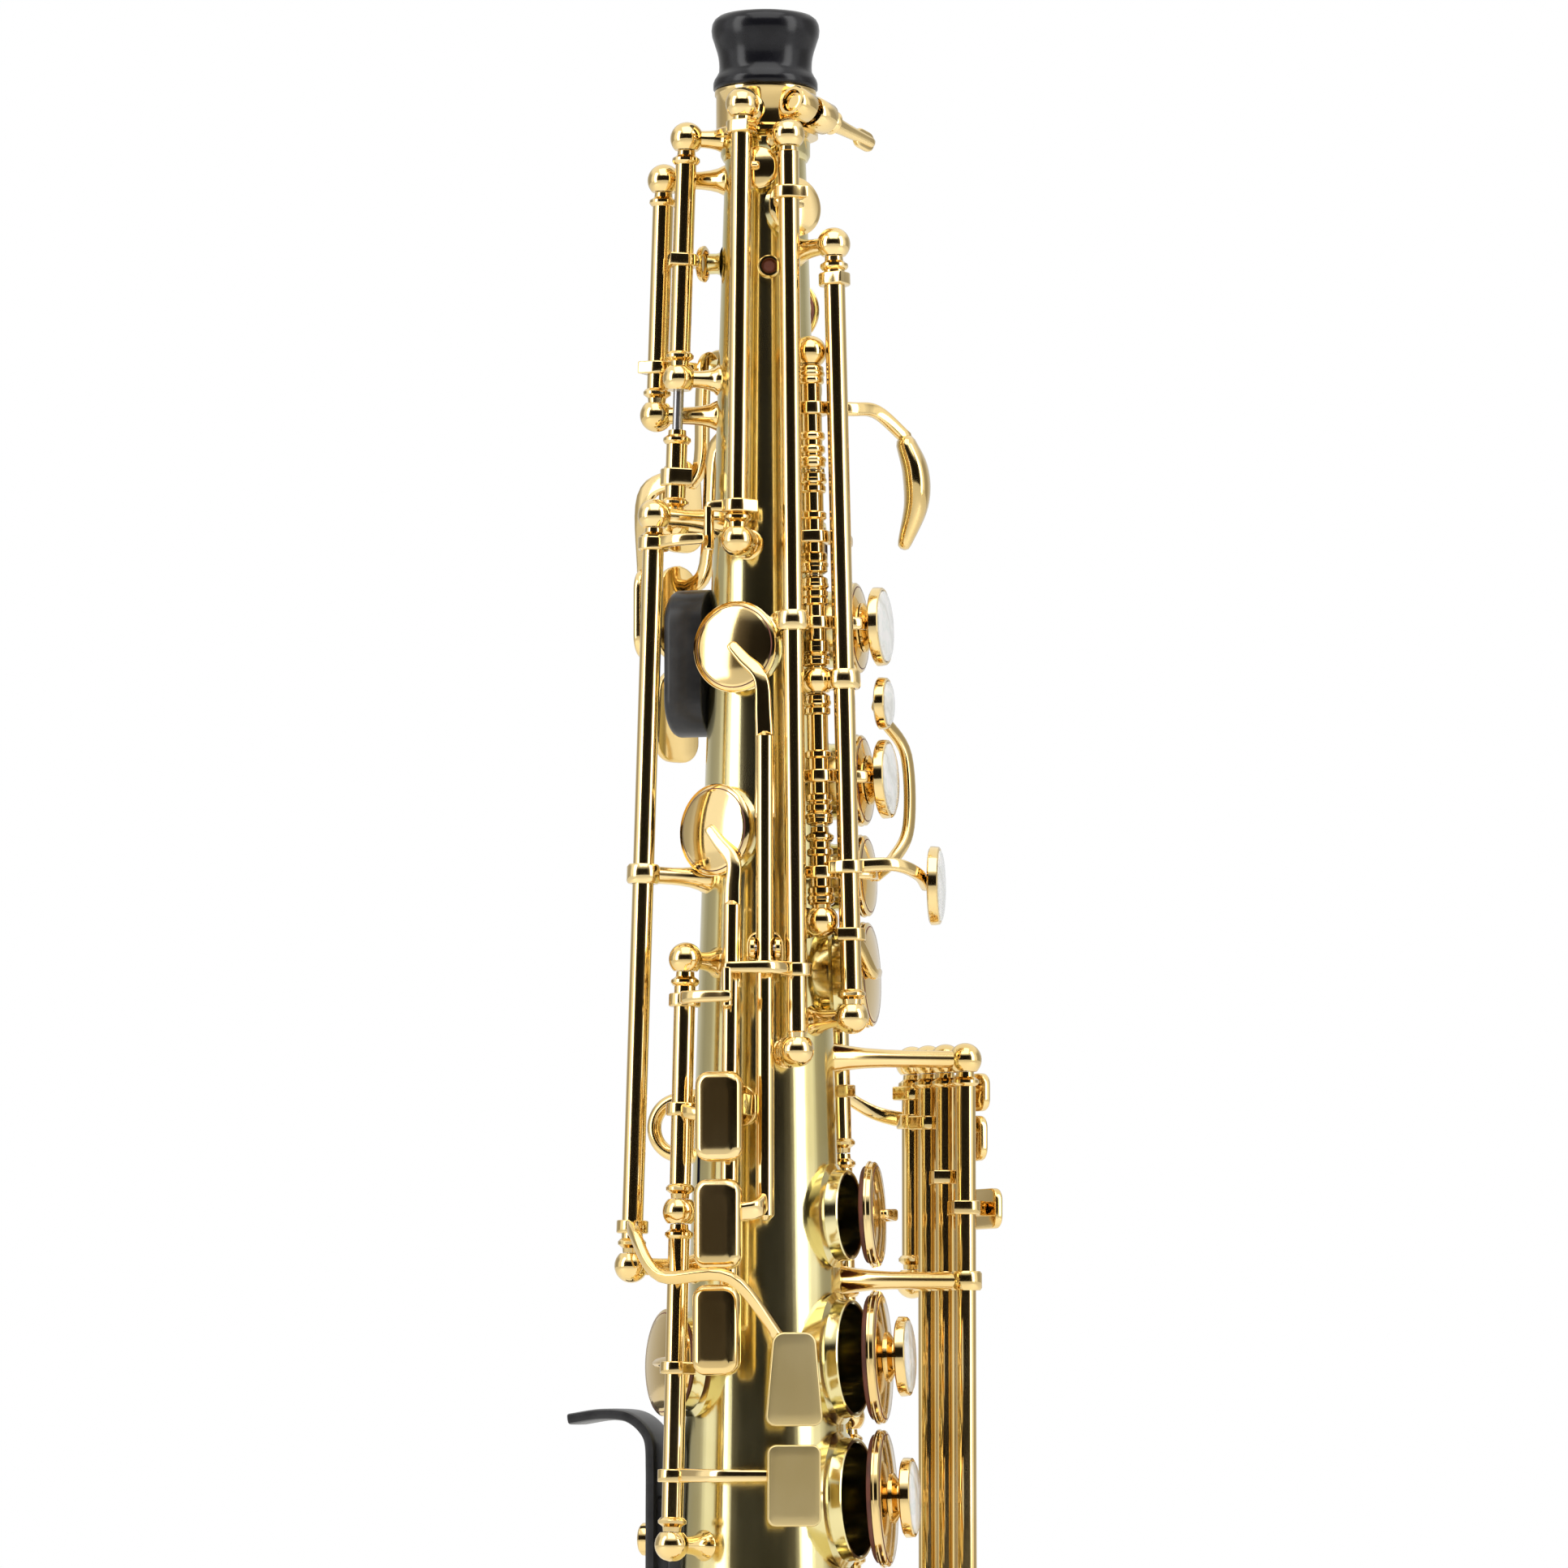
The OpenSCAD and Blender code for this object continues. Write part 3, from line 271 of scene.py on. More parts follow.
UPPER_STACK = leaned(-33, 5)
G_LINE = leaned(-25.2, 10.4)
HIGH_E_LINE = leaned(-54, 7)
SIDE_C_LINE = leaned(-72, 6.2)
SIDE_BFLAT_LINE = leaned(-92, 6.2)
HIGH_FSHARP_LINE = leaned(-91, 6.6)
TRILL_LINE = leaned(-118, 9)
FSHARP_TOUCH_LINE = leaned(-140, 14)
OCTAVE_UPPER_LINE = leaned(-158, 8.2)
OCTAVE_LOWER_LINE = leaned(-173, 13.2)
PALM_LINE = leaned(130, 5)
LOWER_STACK = leaned(55, 5)
LOW_FRONT = leaned(-47, 5)
GSHARP_LINE = upright(58, 40.5)
LOW_CSHARP_LINE = upright(50, 40.5)
LOW_B_LINE = upright(42, 41.5)
LOW_BFLAT_LINE = upright(34, 43.6)


class Shader:
    """Builds the nodes of a material or of the world."""

    def __init__(self, owner: bpy.types.Material | bpy.types.World) -> None:
        """Empties the node tree of a material or a world.

        Args:
            owner: the material or the world.
        """
        owner.use_nodes = True
        self.owner = owner
        self.tree = owner.node_tree
        self.tree.nodes.clear()

    @classmethod
    def named(cls, name: str) -> "Shader":
        """Starts a new material."""
        return cls(bpy.data.materials.new(name))

    def node(self, kind: str, settings: dict | None = None, **inputs: object) -> bpy.types.Node:
        """Adds a node.

        Args:
            kind: the node's type name.
            settings: attributes set before the sockets, "stops" for a ramp's stops.
            inputs: socket names, spaces as underscores, with values, wires or sockets.

        Returns:
            The node.
        """
        node = self.tree.nodes.new(kind)
        for key, value in (settings or {}).items():
            if key == "stops":
                for stop, (place, color) in zip(self._stops(node, len(value)), value):
                    stop.position, stop.color = place, color
            else:
                setattr(node, key, value)
        for key, value in inputs.items():
            self.feed(self._socket(node, key), value)
        return node

    @staticmethod
    def _socket(node: bpy.types.Node, key: str) -> bpy.types.NodeSocket:
        """A node's input by its name, or by its place as i0, i1 and so on.

        Args:
            node: the node.
            key: the input's name with underscores, or i and a number.

        Returns:
            The input.
        """
        if key[0] == "i" and key[1:].isdigit():
            return node.inputs[int(key[1:])]
        return node.inputs[key.replace("_", " ")]

    @staticmethod
    def _stops(node: bpy.types.Node, count: int) -> list:
        """A ramp's stops, brought to a count.

        Args:
            node: a ramp.
            count: how many stops it needs.

        Returns:
            The stops in order.
        """
        elements = node.color_ramp.elements
        while len(elements) < count:
            elements.new(0.5)
        return list(elements)

    def feed(self, socket: bpy.types.NodeSocket, value: object) -> None:
        """Sets a socket to a value, or links it to a wire or another socket.

        Args:
            socket: the input.
            value: a value, a wire or an output.
        """
        source = value.socket if isinstance(value, Wire) else value
        if isinstance(source, bpy.types.NodeSocket):
            self.tree.links.new(source, socket)
        else:
            socket.default_value = source

    def wire(self, node: bpy.types.Node, output: str | int = 0) -> "Wire":
        """One of a node's outputs as a wire."""
        return Wire(self, node.outputs[output])

    def noise(self, scale: float, detail: float = 3.0, place: object = None) -> "Wire":
        """Smooth noise over the object, in metres to the power -1.

        Args:
            scale: how fine it is.
            detail: how many finer layers it has.
            place: coordinates, the plain ones where none are given.

        Returns:
            The noise, from 0 to 1.
        """
        where = place if place is not None else self.place()
        return self.wire(
            self.node("ShaderNodeTexNoise", None, Vector=where, Scale=scale, Detail=detail)
        )

    def place(self, stretch: tuple[float, float, float] = (1, 1, 1)) -> bpy.types.NodeSocket:
        """Object coordinates, stretched along the axes."""
        where = self.node("ShaderNodeTexCoord").outputs["Object"]
        return self.node("ShaderNodeMapping", None, Vector=where, Scale=stretch).outputs[0]

    def ramp(self, wire: "Wire", stops: Sequence[tuple[float, tuple]]) -> bpy.types.NodeSocket:
        """A colour ramp over a wire."""
        return self.node("ShaderNodeValToRGB", {"stops": stops}, Fac=wire).outputs[0]

    def bump(self, height: "Wire", strength: float, distance: float) -> bpy.types.NodeSocket:
        """A normal roughened by a height.

        Args:
            height: the relief.
            strength: how much of it shows.
            distance: depth of the relief in metres.

        Returns:
            The normal.
        """
        return self.node(
            "ShaderNodeBump", None, Height=height, Strength=strength, Distance=distance
        ).outputs[0]

    def surface(self, **inputs: object) -> bpy.types.Material:
        """Closes the material with a Principled surface and returns it.

        Args:
            inputs: the surface's sockets, as in node.

        Returns:
            The material.
        """
        shader = self.node("ShaderNodeBsdfPrincipled", None, **inputs)
        self.node("ShaderNodeOutputMaterial", None, Surface=shader.outputs[0])
        return self.owner


class Wire:
    """A shader value that takes part in Python arithmetic."""

    def __init__(self, shader: Shader, socket: bpy.types.NodeSocket) -> None:
        """Wraps a socket of a shader's tree."""
        self.shader = shader
        self.socket = socket

    def _math(self, operation: str, a: object, b: object) -> "Wire":
        """One Math node over two values.

        Args:
            operation: the node's operation.
            a: first value.
            b: second value.

        Returns:
            The result.
        """
        return self.shader.wire(
            self.shader.node("ShaderNodeMath", {"operation": operation}, i0=a, i1=b)
        )

    def __add__(self, other: object) -> "Wire":
        """self + other."""
        return self._math("ADD", self, other)

    __radd__ = __add__

    def __mul__(self, other: object) -> "Wire":
        """self * other."""
        return self._math("MULTIPLY", self, other)

    __rmul__ = __mul__


Color = tuple[float, float, float]


def rgba(color: Color) -> tuple[float, float, float, float]:
    """A colour with full alpha."""
    return (*color, 1.0)


@dataclass(frozen=True)
class Lacquer:
    """Clear or tinted lacquer over polished brass."""

    name: str
    slot: str
    tint: Color
    deep: Color
    roughness: float

    def material(self) -> bpy.types.Material:
        """Makes the material.

        Returns:
            The material.
        """
        s = Shader.named(self.name)
        cloud = s.noise(38.0, 4.0)
        grain = s.noise(900.0, 2.0, s.place((1, 1, 0.08)))
        color = s.ramp(cloud, [(0.30, rgba(self.deep)), (0.62, rgba(self.tint))])
        return s.surface(
            Base_Color=color,
            Metallic=1.0,
            Roughness=self.roughness + cloud * 0.05 + grain * 0.03,
            Coat_Weight=0.12,
            Coat_Roughness=0.04,
            Normal=s.bump(grain, 0.05, 0.0001),
        )


@dataclass(frozen=True)
class Steel:
    """Ground or blued steel."""

    name: str
    slot: str
    tint: Color
    roughness: float

    def material(self) -> bpy.types.Material:
        """Makes the material.

        Returns:
            The material.
        """
        s = Shader.named(self.name)
        lines = s.noise(1500.0, 2.0, s.place((1, 1, 0.03)))
        dark = tuple(0.7 * c for c in self.tint)
        return s.surface(
            Base_Color=s.ramp(lines, [(0.3, rgba(dark)), (0.7, rgba(self.tint))]),
            Metallic=1.0,
            Roughness=self.roughness + lines * 0.12,
            Normal=s.bump(lines, 0.08, 0.0001),
        )


@dataclass(frozen=True)
class Resin:
    """Moulded black resin, glossy or satin."""

    name: str
    slot: str
    tint: Color
    roughness: float

    def material(self) -> bpy.types.Material:
        """Makes the material.

        Returns:
            The material.
        """
        s = Shader.named(self.name)
        cloud = s.noise(240.0, 5.0)
        pale = tuple(c * 1.7 + 0.004 for c in self.tint)
        return s.surface(
            Base_Color=s.ramp(cloud, [(0.35, rgba(self.tint)), (0.75, rgba(pale))]),
            Roughness=self.roughness + cloud * 0.08,
            Specular_IOR_Level=0.32,
            Normal=s.bump(s.noise(2600.0, 2.0), 0.03, 0.0001),
        )


@dataclass(frozen=True)
class Pearl:
    """Mother-of-pearl with its faint layered figure."""

    name: str = "mother_of_pearl"
    slot: str = "pearl"

    def material(self) -> bpy.types.Material:
        """Makes the material.

        Returns:
            The material.
        """
        s = Shader.named(self.name)
        layers = s.wire(
            s.node(
                "ShaderNodeTexWave",
                {"wave_type": "BANDS", "bands_direction": "DIAGONAL"},
                Vector=s.place(),
                Scale=60.0,
                Distortion=9.0,
                Detail=3.0,
                Detail_Scale=2.0,
            )
        )
        color = s.ramp(
            layers,
            [
                (0.0, (0.60, 0.60, 0.57, 1)),
                (0.35, (0.74, 0.73, 0.70, 1)),
                (0.6, (0.66, 0.69, 0.67, 1)),
                (1.0, (0.77, 0.75, 0.74, 1)),
            ],
        )
        return s.surface(
            Base_Color=color,
            Roughness=0.16 + layers * 0.08,
            Coat_Weight=0.7,
            Coat_Roughness=0.05,
            Subsurface_Weight=0.15,
            Subsurface_Radius=(0.002, 0.002, 0.0015),
            Normal=s.bump(layers, 0.04, 0.0002),
        )


@dataclass(frozen=True)
class Leather:
    """Thin kid leather drawn over a felt pad."""

    name: str = "pad_kid_leather"
    slot: str = "pad_leather"

    def material(self) -> bpy.types.Material:
        """Makes the material.

        Returns:
            The material.
        """
        s = Shader.named(self.name)
        pores = s.wire(
            s.node(
                "ShaderNodeTexVoronoi", {
                    "feature": "DISTANCE_TO_EDGE"
                }, Vector=s.place(), Scale=1700.0
            )
        )
        cloud = s.noise(160.0, 4.0)
        color = s.ramp(
            cloud, [(0.3, (0.060, 0.014, 0.009, 1)), (0.7, (0.20, 0.055, 0.030, 1))]
        )
        return s.surface(
            Base_Color=color,
            Roughness=0.46 + cloud * 0.16,
            Normal=s.bump(pores, 0.35, 0.0002),
        )


class Finish(Enum):
    """The finishes of the instrument."""

    BODY = Lacquer("body_lacquer", "body_lacquer", (0.82, 0.73, 0.40), (0.72, 0.62, 0.29), 0.11)
    KEYS = Lacquer("key_lacquer", "key_lacquer", (0.90, 0.69, 0.34), (0.81, 0.58, 0.23), 0.06)
    FITTINGS = Lacquer(
        "fitting_lacquer", "fitting_lacquer", (0.90, 0.69, 0.34), (0.80, 0.57, 0.22), 0.07
    )
    SATIN = Lacquer("satin_lacquer", "key_lacquer", (0.76, 0.61, 0.31), (0.70, 0.54, 0.24), 0.30)
    ROD_STEEL = Steel("ground_steel", "pivot_steel", (0.50, 0.50, 0.52), 0.22)
    SPRING = Steel("blued_steel", "spring_steel", (0.03, 0.04, 0.09), 0.25)
    PLUG = Resin("plug_resin", "plug_resin", (0.006, 0.006, 0.008), 0.16)
    THUMB = Resin("thumb_resin", "thumb_black", (0.020, 0.020, 0.022), 0.26)
    PEARL = Pearl()
    LEATHER = Leather()


class Paints:
    """Makes each finish's material once."""

    _made: ClassVar[dict[Finish, bpy.types.Material]] = {}

    @classmethod
    def of(cls, finish: Finish) -> bpy.types.Material:
        """The material of a finish.

        Args:
            finish: the finish.

        Returns:
            Its material, made on the first call.
        """
        if finish not in cls._made:
            cls._made[finish] = finish.value.material()
        return cls._made[finish]


def soften(part: bmesh.types.BMesh, edges: list, size: float, segments: int) -> None:
    """Rounds some edges of a shape.

    Args:
        part: the shape.
        edges: its edges to round.
        size: width of the rounding.
        segments: facets across it.
    """
    bmesh.ops.bevel(
        part, geom=edges, offset=size, offset_type="OFFSET", segments=segments, profile=0.5,
        affect="EDGES", material=-1, clamp_overlap=True,
    )


def grow(
    part: bmesh.types.BMesh, face: bmesh.types.BMFace, keep: bool = False
) -> bmesh.types.BMFace:
    """Extrudes a face of a shape.

    Args:
        part: the shape.
        face: the face.
        keep: whether the old face stays, as a bar's first end does.

    Returns:
        The new face, still in the old one's place.
    """
    grown = bmesh.ops.extrude_face_region(part, geom=[face])["geom"]
    if not keep:
        bmesh.ops.delete(part, geom=[face], context="FACES_ONLY")
    return next(g for g in grown if isinstance(g, bmesh.types.BMFace))


def arc(
    radius: float, start: float, stop: float, steps: int, reach: float = 0.0
) -> list[tuple[float, float]]:
    """An outline's points round an arc, without its last.

    Args:
        radius: radius of the arc.
        start: angle of the first point.
        stop: angle where the arc ends.
        steps: number of steps from one to the other.
        reach: how far the arc's middle lies from local Z.

    Returns:
        The (radius, height) points.
    """
    angles = [math.radians(start + (stop - start) * i / steps) for i in range(steps)]
    return [(reach + radius * math.cos(a), radius * math.sin(a)) for a in angles]


@dataclass(frozen=True)
class Section:
    """Where a bar's section stands, how it is turned and how large it is."""

    place: Point
    across: Point
    side: Point
    ahead: Point
    share: float

    def matrix(self) -> Matrix:
        """What brings a section drawn in the XY plane to its place.

        Returns:
            The frame with the scale in it.
        """
        rows = (self.across * self.share, self.side * self.share, self.ahead)
        m = Matrix(rows).transposed().to_4x4()
        m.translation = self.place
        return m

    def tip(self, reach: float, scale: float) -> "Section":
        """A smaller section ahead of this one, for a rounded end."""
        place = self.place + self.ahead * reach
        return Section(place, self.across, self.side, self.ahead, self.share * scale)


class Work:
    """A mesh put together from turned, bent and pressed shapes, in millimetres."""

    def __init__(self, place: Matrix | None = None) -> None:
        """Starts an empty mesh whose shapes are all moved by a matrix."""
        self.bm = bmesh.new()
        self.move = place or Matrix()

    def _keep(self, part: bmesh.types.BMesh, place: Matrix, bevel: float = 0.0) -> "Work":
        """Closes a shape, softens its sharp edges and adds it to the mesh.

        Args:
            part: the shape, which is used up.
            place: where it goes.
            bevel: size of the softening, 0 for none.

        Returns:
            This mesh.
        """
        bmesh.ops.remove_doubles(part, verts=part.verts, dist=1e-4)
        bmesh.ops.recalc_face_normals(part, faces=part.faces)
        if bevel > 0:
            sharp = [
                e for e in part.edges if len(e.link_faces) == 2 and e.calc_face_angle(0) > 0.55
            ]
            soften(part, sharp, bevel, 2)
        bmesh.ops.transform(part, matrix=self.move @ place, verts=part.verts)
        mesh = bpy.data.meshes.new("shape")
        part.to_mesh(mesh)
        part.free()
        self.bm.from_mesh(mesh)
        bpy.data.meshes.remove(mesh)
        return self

    def turned(
        self, profile: Profile, place: Matrix, steps: int = 36, closed: bool = False,
        bevel: float = 0.0,
    ) -> "Work":
        """Turns an outline about local Z.

        Args:
            profile: (radius, height) points.
            place: where the local frame stands.
            steps: facets round the turn.
            closed: whether the outline is a loop, as in a ring.
            bevel: size of the softening of its sharp edges.

        Returns:
            This mesh.
        """
        part = bmesh.new()
        verts = [part.verts.new((r, 0, z)) for r, z in profile]
        edges = [part.edges.new(pair) for pair in zip(verts, verts[1:])]
        if closed:
            edges.append(part.edges.new((verts[-1], verts[0])))
        bmesh.ops.spin(
            part, geom=verts + edges, cent=(0, 0, 0), axis=(0, 0, 1), dvec=(0, 0, 0),
            angle=math.tau, steps=steps, use_merge=True, use_duplicate=False,
        )
        return self._keep(part, place, bevel)

    def disc(
        self, radius: float, low: float, high: float, place: Matrix, bevel: float = 0.2,
        steps: int = 36,
    ) -> "Work":
        """A short cylinder between two heights.

        Args:
            radius: its radius.
            low: height of one end.
            high: height of the other end.
            place: where the local frame stands.
            bevel: size of its edges' softening.
            steps: facets round it.

        Returns:
            This mesh.
        """
        b = min(bevel, (high - low) / 2.2, radius / 2)
        outline = [
            (0, low), (radius - b, low), (radius, low + b), (radius, high - b), (radius - b, high),
            (0, high),
        ]
        return self.turned(outline, place, steps)

    def rod(self, start: Point, end: Point, radius: float) -> "Work":
        """A round bar between two points.

        Args:
            start: middle of one end.
            end: middle of the other end.
            radius: its radius.

        Returns:
            This mesh.
        """
        run = end - start
        place = Matrix.Translation(start) @ run.to_track_quat("Z", "Y").to_matrix().to_4x4()
        return self.disc(radius, 0, run.length, place, radius * 0.2, 20)

    def bent(
        self, points: Sequence[Point], height: float = 3.2, depth: float = 2.2,
        end: float = 1.0, up: Point = Vector((0, 0, 1)), corner: float = 0.62, swell: float = 0.0,
    ) -> "Work":
        """A bar of rounded section drawn along a smooth curve.

        Args:
            points: what the curve passes through.
            height: size of the section along the up direction.
            depth: size of the section across it.
            end: scale of the section at the last point.
            up: the direction that the section's height starts from.
            corner: how square the section is, from 1 round to 0.4 square.
            swell: how much larger the section gets halfway.

        Returns:
            This mesh.
        """
        path = smooth_path(points, 7)
        part = bmesh.new()
        bmesh.ops.create_circle(part, cap_ends=True, radius=1.0, segments=16)
        for v in part.verts:
            a = math.atan2(v.co.y, v.co.x)
            across, along = power(math.cos(a), corner), power(math.sin(a), corner)
            v.co = Vector((across * depth / 2, along * height / 2, 0))
        rings, side = [], up.copy()
        for i, p in enumerate(path):
            ahead = (path[min(i + 1, len(path) - 1)] - path[max(i - 1, 0)]).normalized()
            side = (side - side.dot(ahead) * ahead).normalized()
            t = i / (len(path) - 1)
            share = 1 + (end - 1) * t + swell * math.sin(math.pi * t)
            rings.append(Section(p, side.cross(ahead), side, ahead, share))
        cap = depth * 0.32
        first, last = rings[0], rings[-1]
        rings = [first.tip(-cap, 0.45), first.tip(-cap * 0.7, 0.8), *rings]
        rings += [last.tip(cap * 0.7, 0.8), last.tip(cap, 0.45)]
        frames = [ring.matrix() for ring in rings]
        face = next(iter(part.faces))
        bmesh.ops.transform(part, matrix=frames[0], verts=part.verts)
        for before, after in zip(frames, frames[1:]):
            face = grow(part, face, keep=before is frames[0])
            move = after @ before.inverted()
            bmesh.ops.transform(part, matrix=move, verts=list(face.verts))
        return self._keep(part, Matrix())

    def plate(
        self, length: float, width: float, thickness: float, place: Matrix,
        corner: float = 3.0, edge: float = 0.8, dome: float = 0.5, narrow: float = 1.0,
    ) -> "Work":
        """A pressed touch plate with rounded corners, soft edges and a domed face.

        Args:
            length: size along local X.
            width: size along local Y.
            thickness: size along local Z, without the dome.
            place: where the middle of its back stands.
            corner: radius of its corners.
            edge: radius of the edge round its face.
            dome: how far the middle of its face stands out.
            narrow: width at the local -X end as a share of the width.

        Returns:
            This mesh.
        """
        part = bmesh.new()
        bmesh.ops.create_cube(part, size=1.0)
        bmesh.ops.scale(part, vec=(length, width, thickness), verts=part.verts)
        bmesh.ops.translate(part, vec=(0, 0, thickness / 2), verts=part.verts)
        for v in part.verts:
            if v.co.x < 0:
                v.co.y *= narrow
        upright_edges = [e for e in part.edges if abs((e.verts[0].co - e.verts[1].co).z) > 1e-6]
        soften(part, upright_edges, corner, 7)
        for height, size in ((thickness, edge), (0.0, min(0.35, edge))):
            rim = [e for e in part.edges if all(abs(v.co.z - height) < 1e-5 for v in e.verts)]
            soften(part, rim, size, 4)
        top = max(part.faces, key=lambda f: f.calc_center_median().z)
        middle = top.calc_center_median()
        for share in (0.75, 0.6, 0.4):
            top = grow(part, top)
            inward = Matrix.Translation(-middle)
            bmesh.ops.scale(part, vec=(share, share, 1), space=inward, verts=list(top.verts))
            bmesh.ops.translate(part, vec=(0, 0, dome * (1 - share)), verts=list(top.verts))
        return self._keep(part, place)

    def finish(
        self, name: str, finish: Finish, body: str, nodes: Iterable[str] = (), sharp: float = 42.0
    ) -> bpy.types.Object:
        """Makes the piece.

        Args:
            name: the piece's name.
            finish: its finish.
            body: the CAD body it rides on.
            nodes: the CAD nodes it stands for.
            sharp: edges above this angle stay sharp.

        Returns:
            The finished object.
        """
        bmesh.ops.scale(self.bm, vec=(MM, MM, MM), verts=self.bm.verts)
        mesh = bpy.data.meshes.new(name)
        self.bm.to_mesh(mesh)
        self.bm.free()
        mesh.shade_smooth()
        mesh.set_sharp_from_angle(angle=math.radians(sharp))
        mesh.materials.append(Paints.of(finish))
        piece = bpy.data.objects.new(name, mesh)
        bpy.context.scene.collection.objects.link(piece)
        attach(piece, body)
        if nodes:
            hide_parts(*nodes)
        log.info("%s: %d faces on %s", name, len(mesh.polygons), body)
        return piece


def power(value: float, exponent: float) -> float:
    """A signed power, which squares off a circle below 1."""
    return math.copysign(abs(value) ** exponent, value)


def smooth_path(points: Sequence[Point], steps: int) -> list[Point]:
    """A smooth curve through points, with a number of steps between each two.

    Args:
        points: what the curve passes through.
        steps: number of steps between each two.

    Returns:
        The curve's points.
    """
    if len(points) == 2:
        return [points[0].lerp(points[1], i / 4) for i in range(5)]
    ends = [points[0] * 2 - points[1], *points, points[-1] * 2 - points[-2]]
    path = []
    for a, b, c, d in zip(ends, ends[1:], ends[2:], ends[3:]):
        for i in range(steps):
            t = i / steps
            curve = 2 * b + (c - a) * t + (2 * a - 5 * b + 4 * c - d) * t**2
            path.append(0.5 * (curve + (3 * b - a - 3 * c + d) * t**3))
    return [*path, points[-1]]


def above(post: float) -> float:
    """Where a hinge tube starts over a ball post."""
    return post + BALL_FACE + PLAY


def below(post: float) -> float:
    """Where a hinge tube ends under a ball post."""
    return post - BALL_FACE - PLAY


class KeyWork(Work):
    """A brazed key: hinge tube, collars, arms, cup and touch."""

    def hinge(self, line: Line, low: float, high: float, lip: float = 2.95) -> "KeyWork":
        """The bored hinge tube with a lip near each end.

        Args:
            line: the hinge line.
            low: height of the lower end.
            high: height of the upper end.
            lip: radius of the lips.

        Returns:
            This mesh.
        """
        inner = ROD + 0.06
        root = max(HINGE, lip - 0.4)
        flange = [
            (1.85, 0.0), (1.95, 1.0), (HINGE, 1.2), (lip - 0.05, 1.7), (lip, 2.3), (root, 2.8),
            (HINGE, 3.0),
        ]
        loop = [(inner, low), *((r, low + z) for r, z in flange)]
        loop += [*((r, high - z) for r, z in reversed(flange)), (inner, high)]
        return self.turned(loop, line.frame(), 36, closed=True)

    def rings(self, line: Line, heights: Iterable[float]) -> "KeyWork":
        """Turned beads round a hinge tube, each with a groove on both sides.

        Args:
            line: the hinge line.
            heights: where the beads are.

        Returns:
            This mesh.
        """
        groove = HINGE - 0.1
        for z in heights:
            bead = [
                (groove, z - 0.9), (BEAD - 0.35, z - 0.85), (BEAD, z - 0.5), (BEAD, z + 0.5),
                (BEAD - 0.35, z + 0.85), (groove, z + 0.9),
            ]
            self.turned(bead, line.frame(), 28, closed=True)
        return self

    def collar(self, line: Line, z: float, toward: Point, height: float = 2.6) -> "KeyWork":
        """The pointed plate where an arm leaves its hinge tube.

        Args:
            line: the hinge line.
            z: height of the collar's middle.
            toward: a point that the arm leaves for.
            height: size along the line.

        Returns:
            This mesh.
        """
        part = bmesh.new()
        bmesh.ops.create_cone(
            part, cap_ends=True, cap_tris=False, segments=28, radius1=COLLAR, radius2=COLLAR,
            depth=height,
        )
        frame = line.frame(z)
        local = frame.inverted() @ toward
        aim = math.atan2(local.y, local.x)
        for v in part.verts:
            point = max(0.0, -v.co.x - 1.9)
            v.co.x -= point * 0.75
            v.co.y *= 1 - min(point * 0.55, 0.8)
        rims = [e for e in part.edges if abs(e.verts[0].co.z - e.verts[1].co.z) < 1e-6]
        soften(part, rims, height * 0.26, 3)
        return self._keep(part, frame @ Matrix.Rotation(aim, 4, "Z"))

    def arm(
        self, line: Line, z: float, points: Sequence[Point], height: float = 3.0, end: float = 0.75
    ) -> "KeyWork":
        """A collar and a curved arm from a hinge line through some points.

        Args:
            line: the hinge line.
            z: height of the collar.
            points: what the arm passes through.
            height: size of the arm's section along the tube.
            end: scale of the arm's far end.

        Returns:
            This mesh.
        """
        self.collar(line, z, points[0], height * 0.9)
        self.bent([line.at(z), *points], height, 2.2, end, corner=0.5)
        return self

    def cup(self, hole: Hole) -> "KeyWork":
        """A pressed cup with a turned rim and a low cone for a crown.

        Args:
            hole: the tone hole under it.

        Returns:
            This mesh.
        """
        r, thick = hole.cup_radius, hole.sizes[1]
        skirt, top = thick * 0.35, thick + 0.9
        inner = hole.pad_radius + 0.05
        sag = 0.13 * r if r < 8.5 else 1.15
        loop = [
            (0.0, thick + 0.02), (inner - 0.3, thick + 0.02), (inner, thick - 0.2), (inner, skirt),
            (r - 0.25, skirt),
            (r, skirt + 0.2), (r, skirt + 0.55), (r - 0.2, skirt + 0.75),
            (r - 0.2, top - sag - 0.25),
        ]
        loop += [
            ((r - 0.45) * x, top - sag * x * x) for x in (1.0, 0.88, 0.74, 0.6, 0.45, 0.3, 0.15)
        ]
        loop.append((0.0, top))
        return self.turned(loop, hole.frame(hole.base), 56)

    def cup_arm(self, line: Line, z: float, hole: Hole, lift: float = 0.4) -> "KeyWork":
        """A collar and the arm that runs over the cup to its middle.

        Args:
            line: the hinge line.
            z: height of the collar.
            hole: the tone hole under the cup.
            lift: height of the arm's end over the cup.

        Returns:
            This mesh.
        """
        edge, crown = hole.edge(line), hole.crown(lift)
        middle = line.at(z).lerp(edge, 0.45)
        middle.z = line.at(z).z + (edge.z - line.at(z).z) * 0.35
        self.collar(line, z, edge)
        ridge = edge.lerp(crown, 0.5) + (crown - hole.frame().translation).normalized() * 0.35
        self.bent([line.at(z), middle, edge, ridge, crown], 3.2, 2.2, 0.62, corner=0.55)
        return self

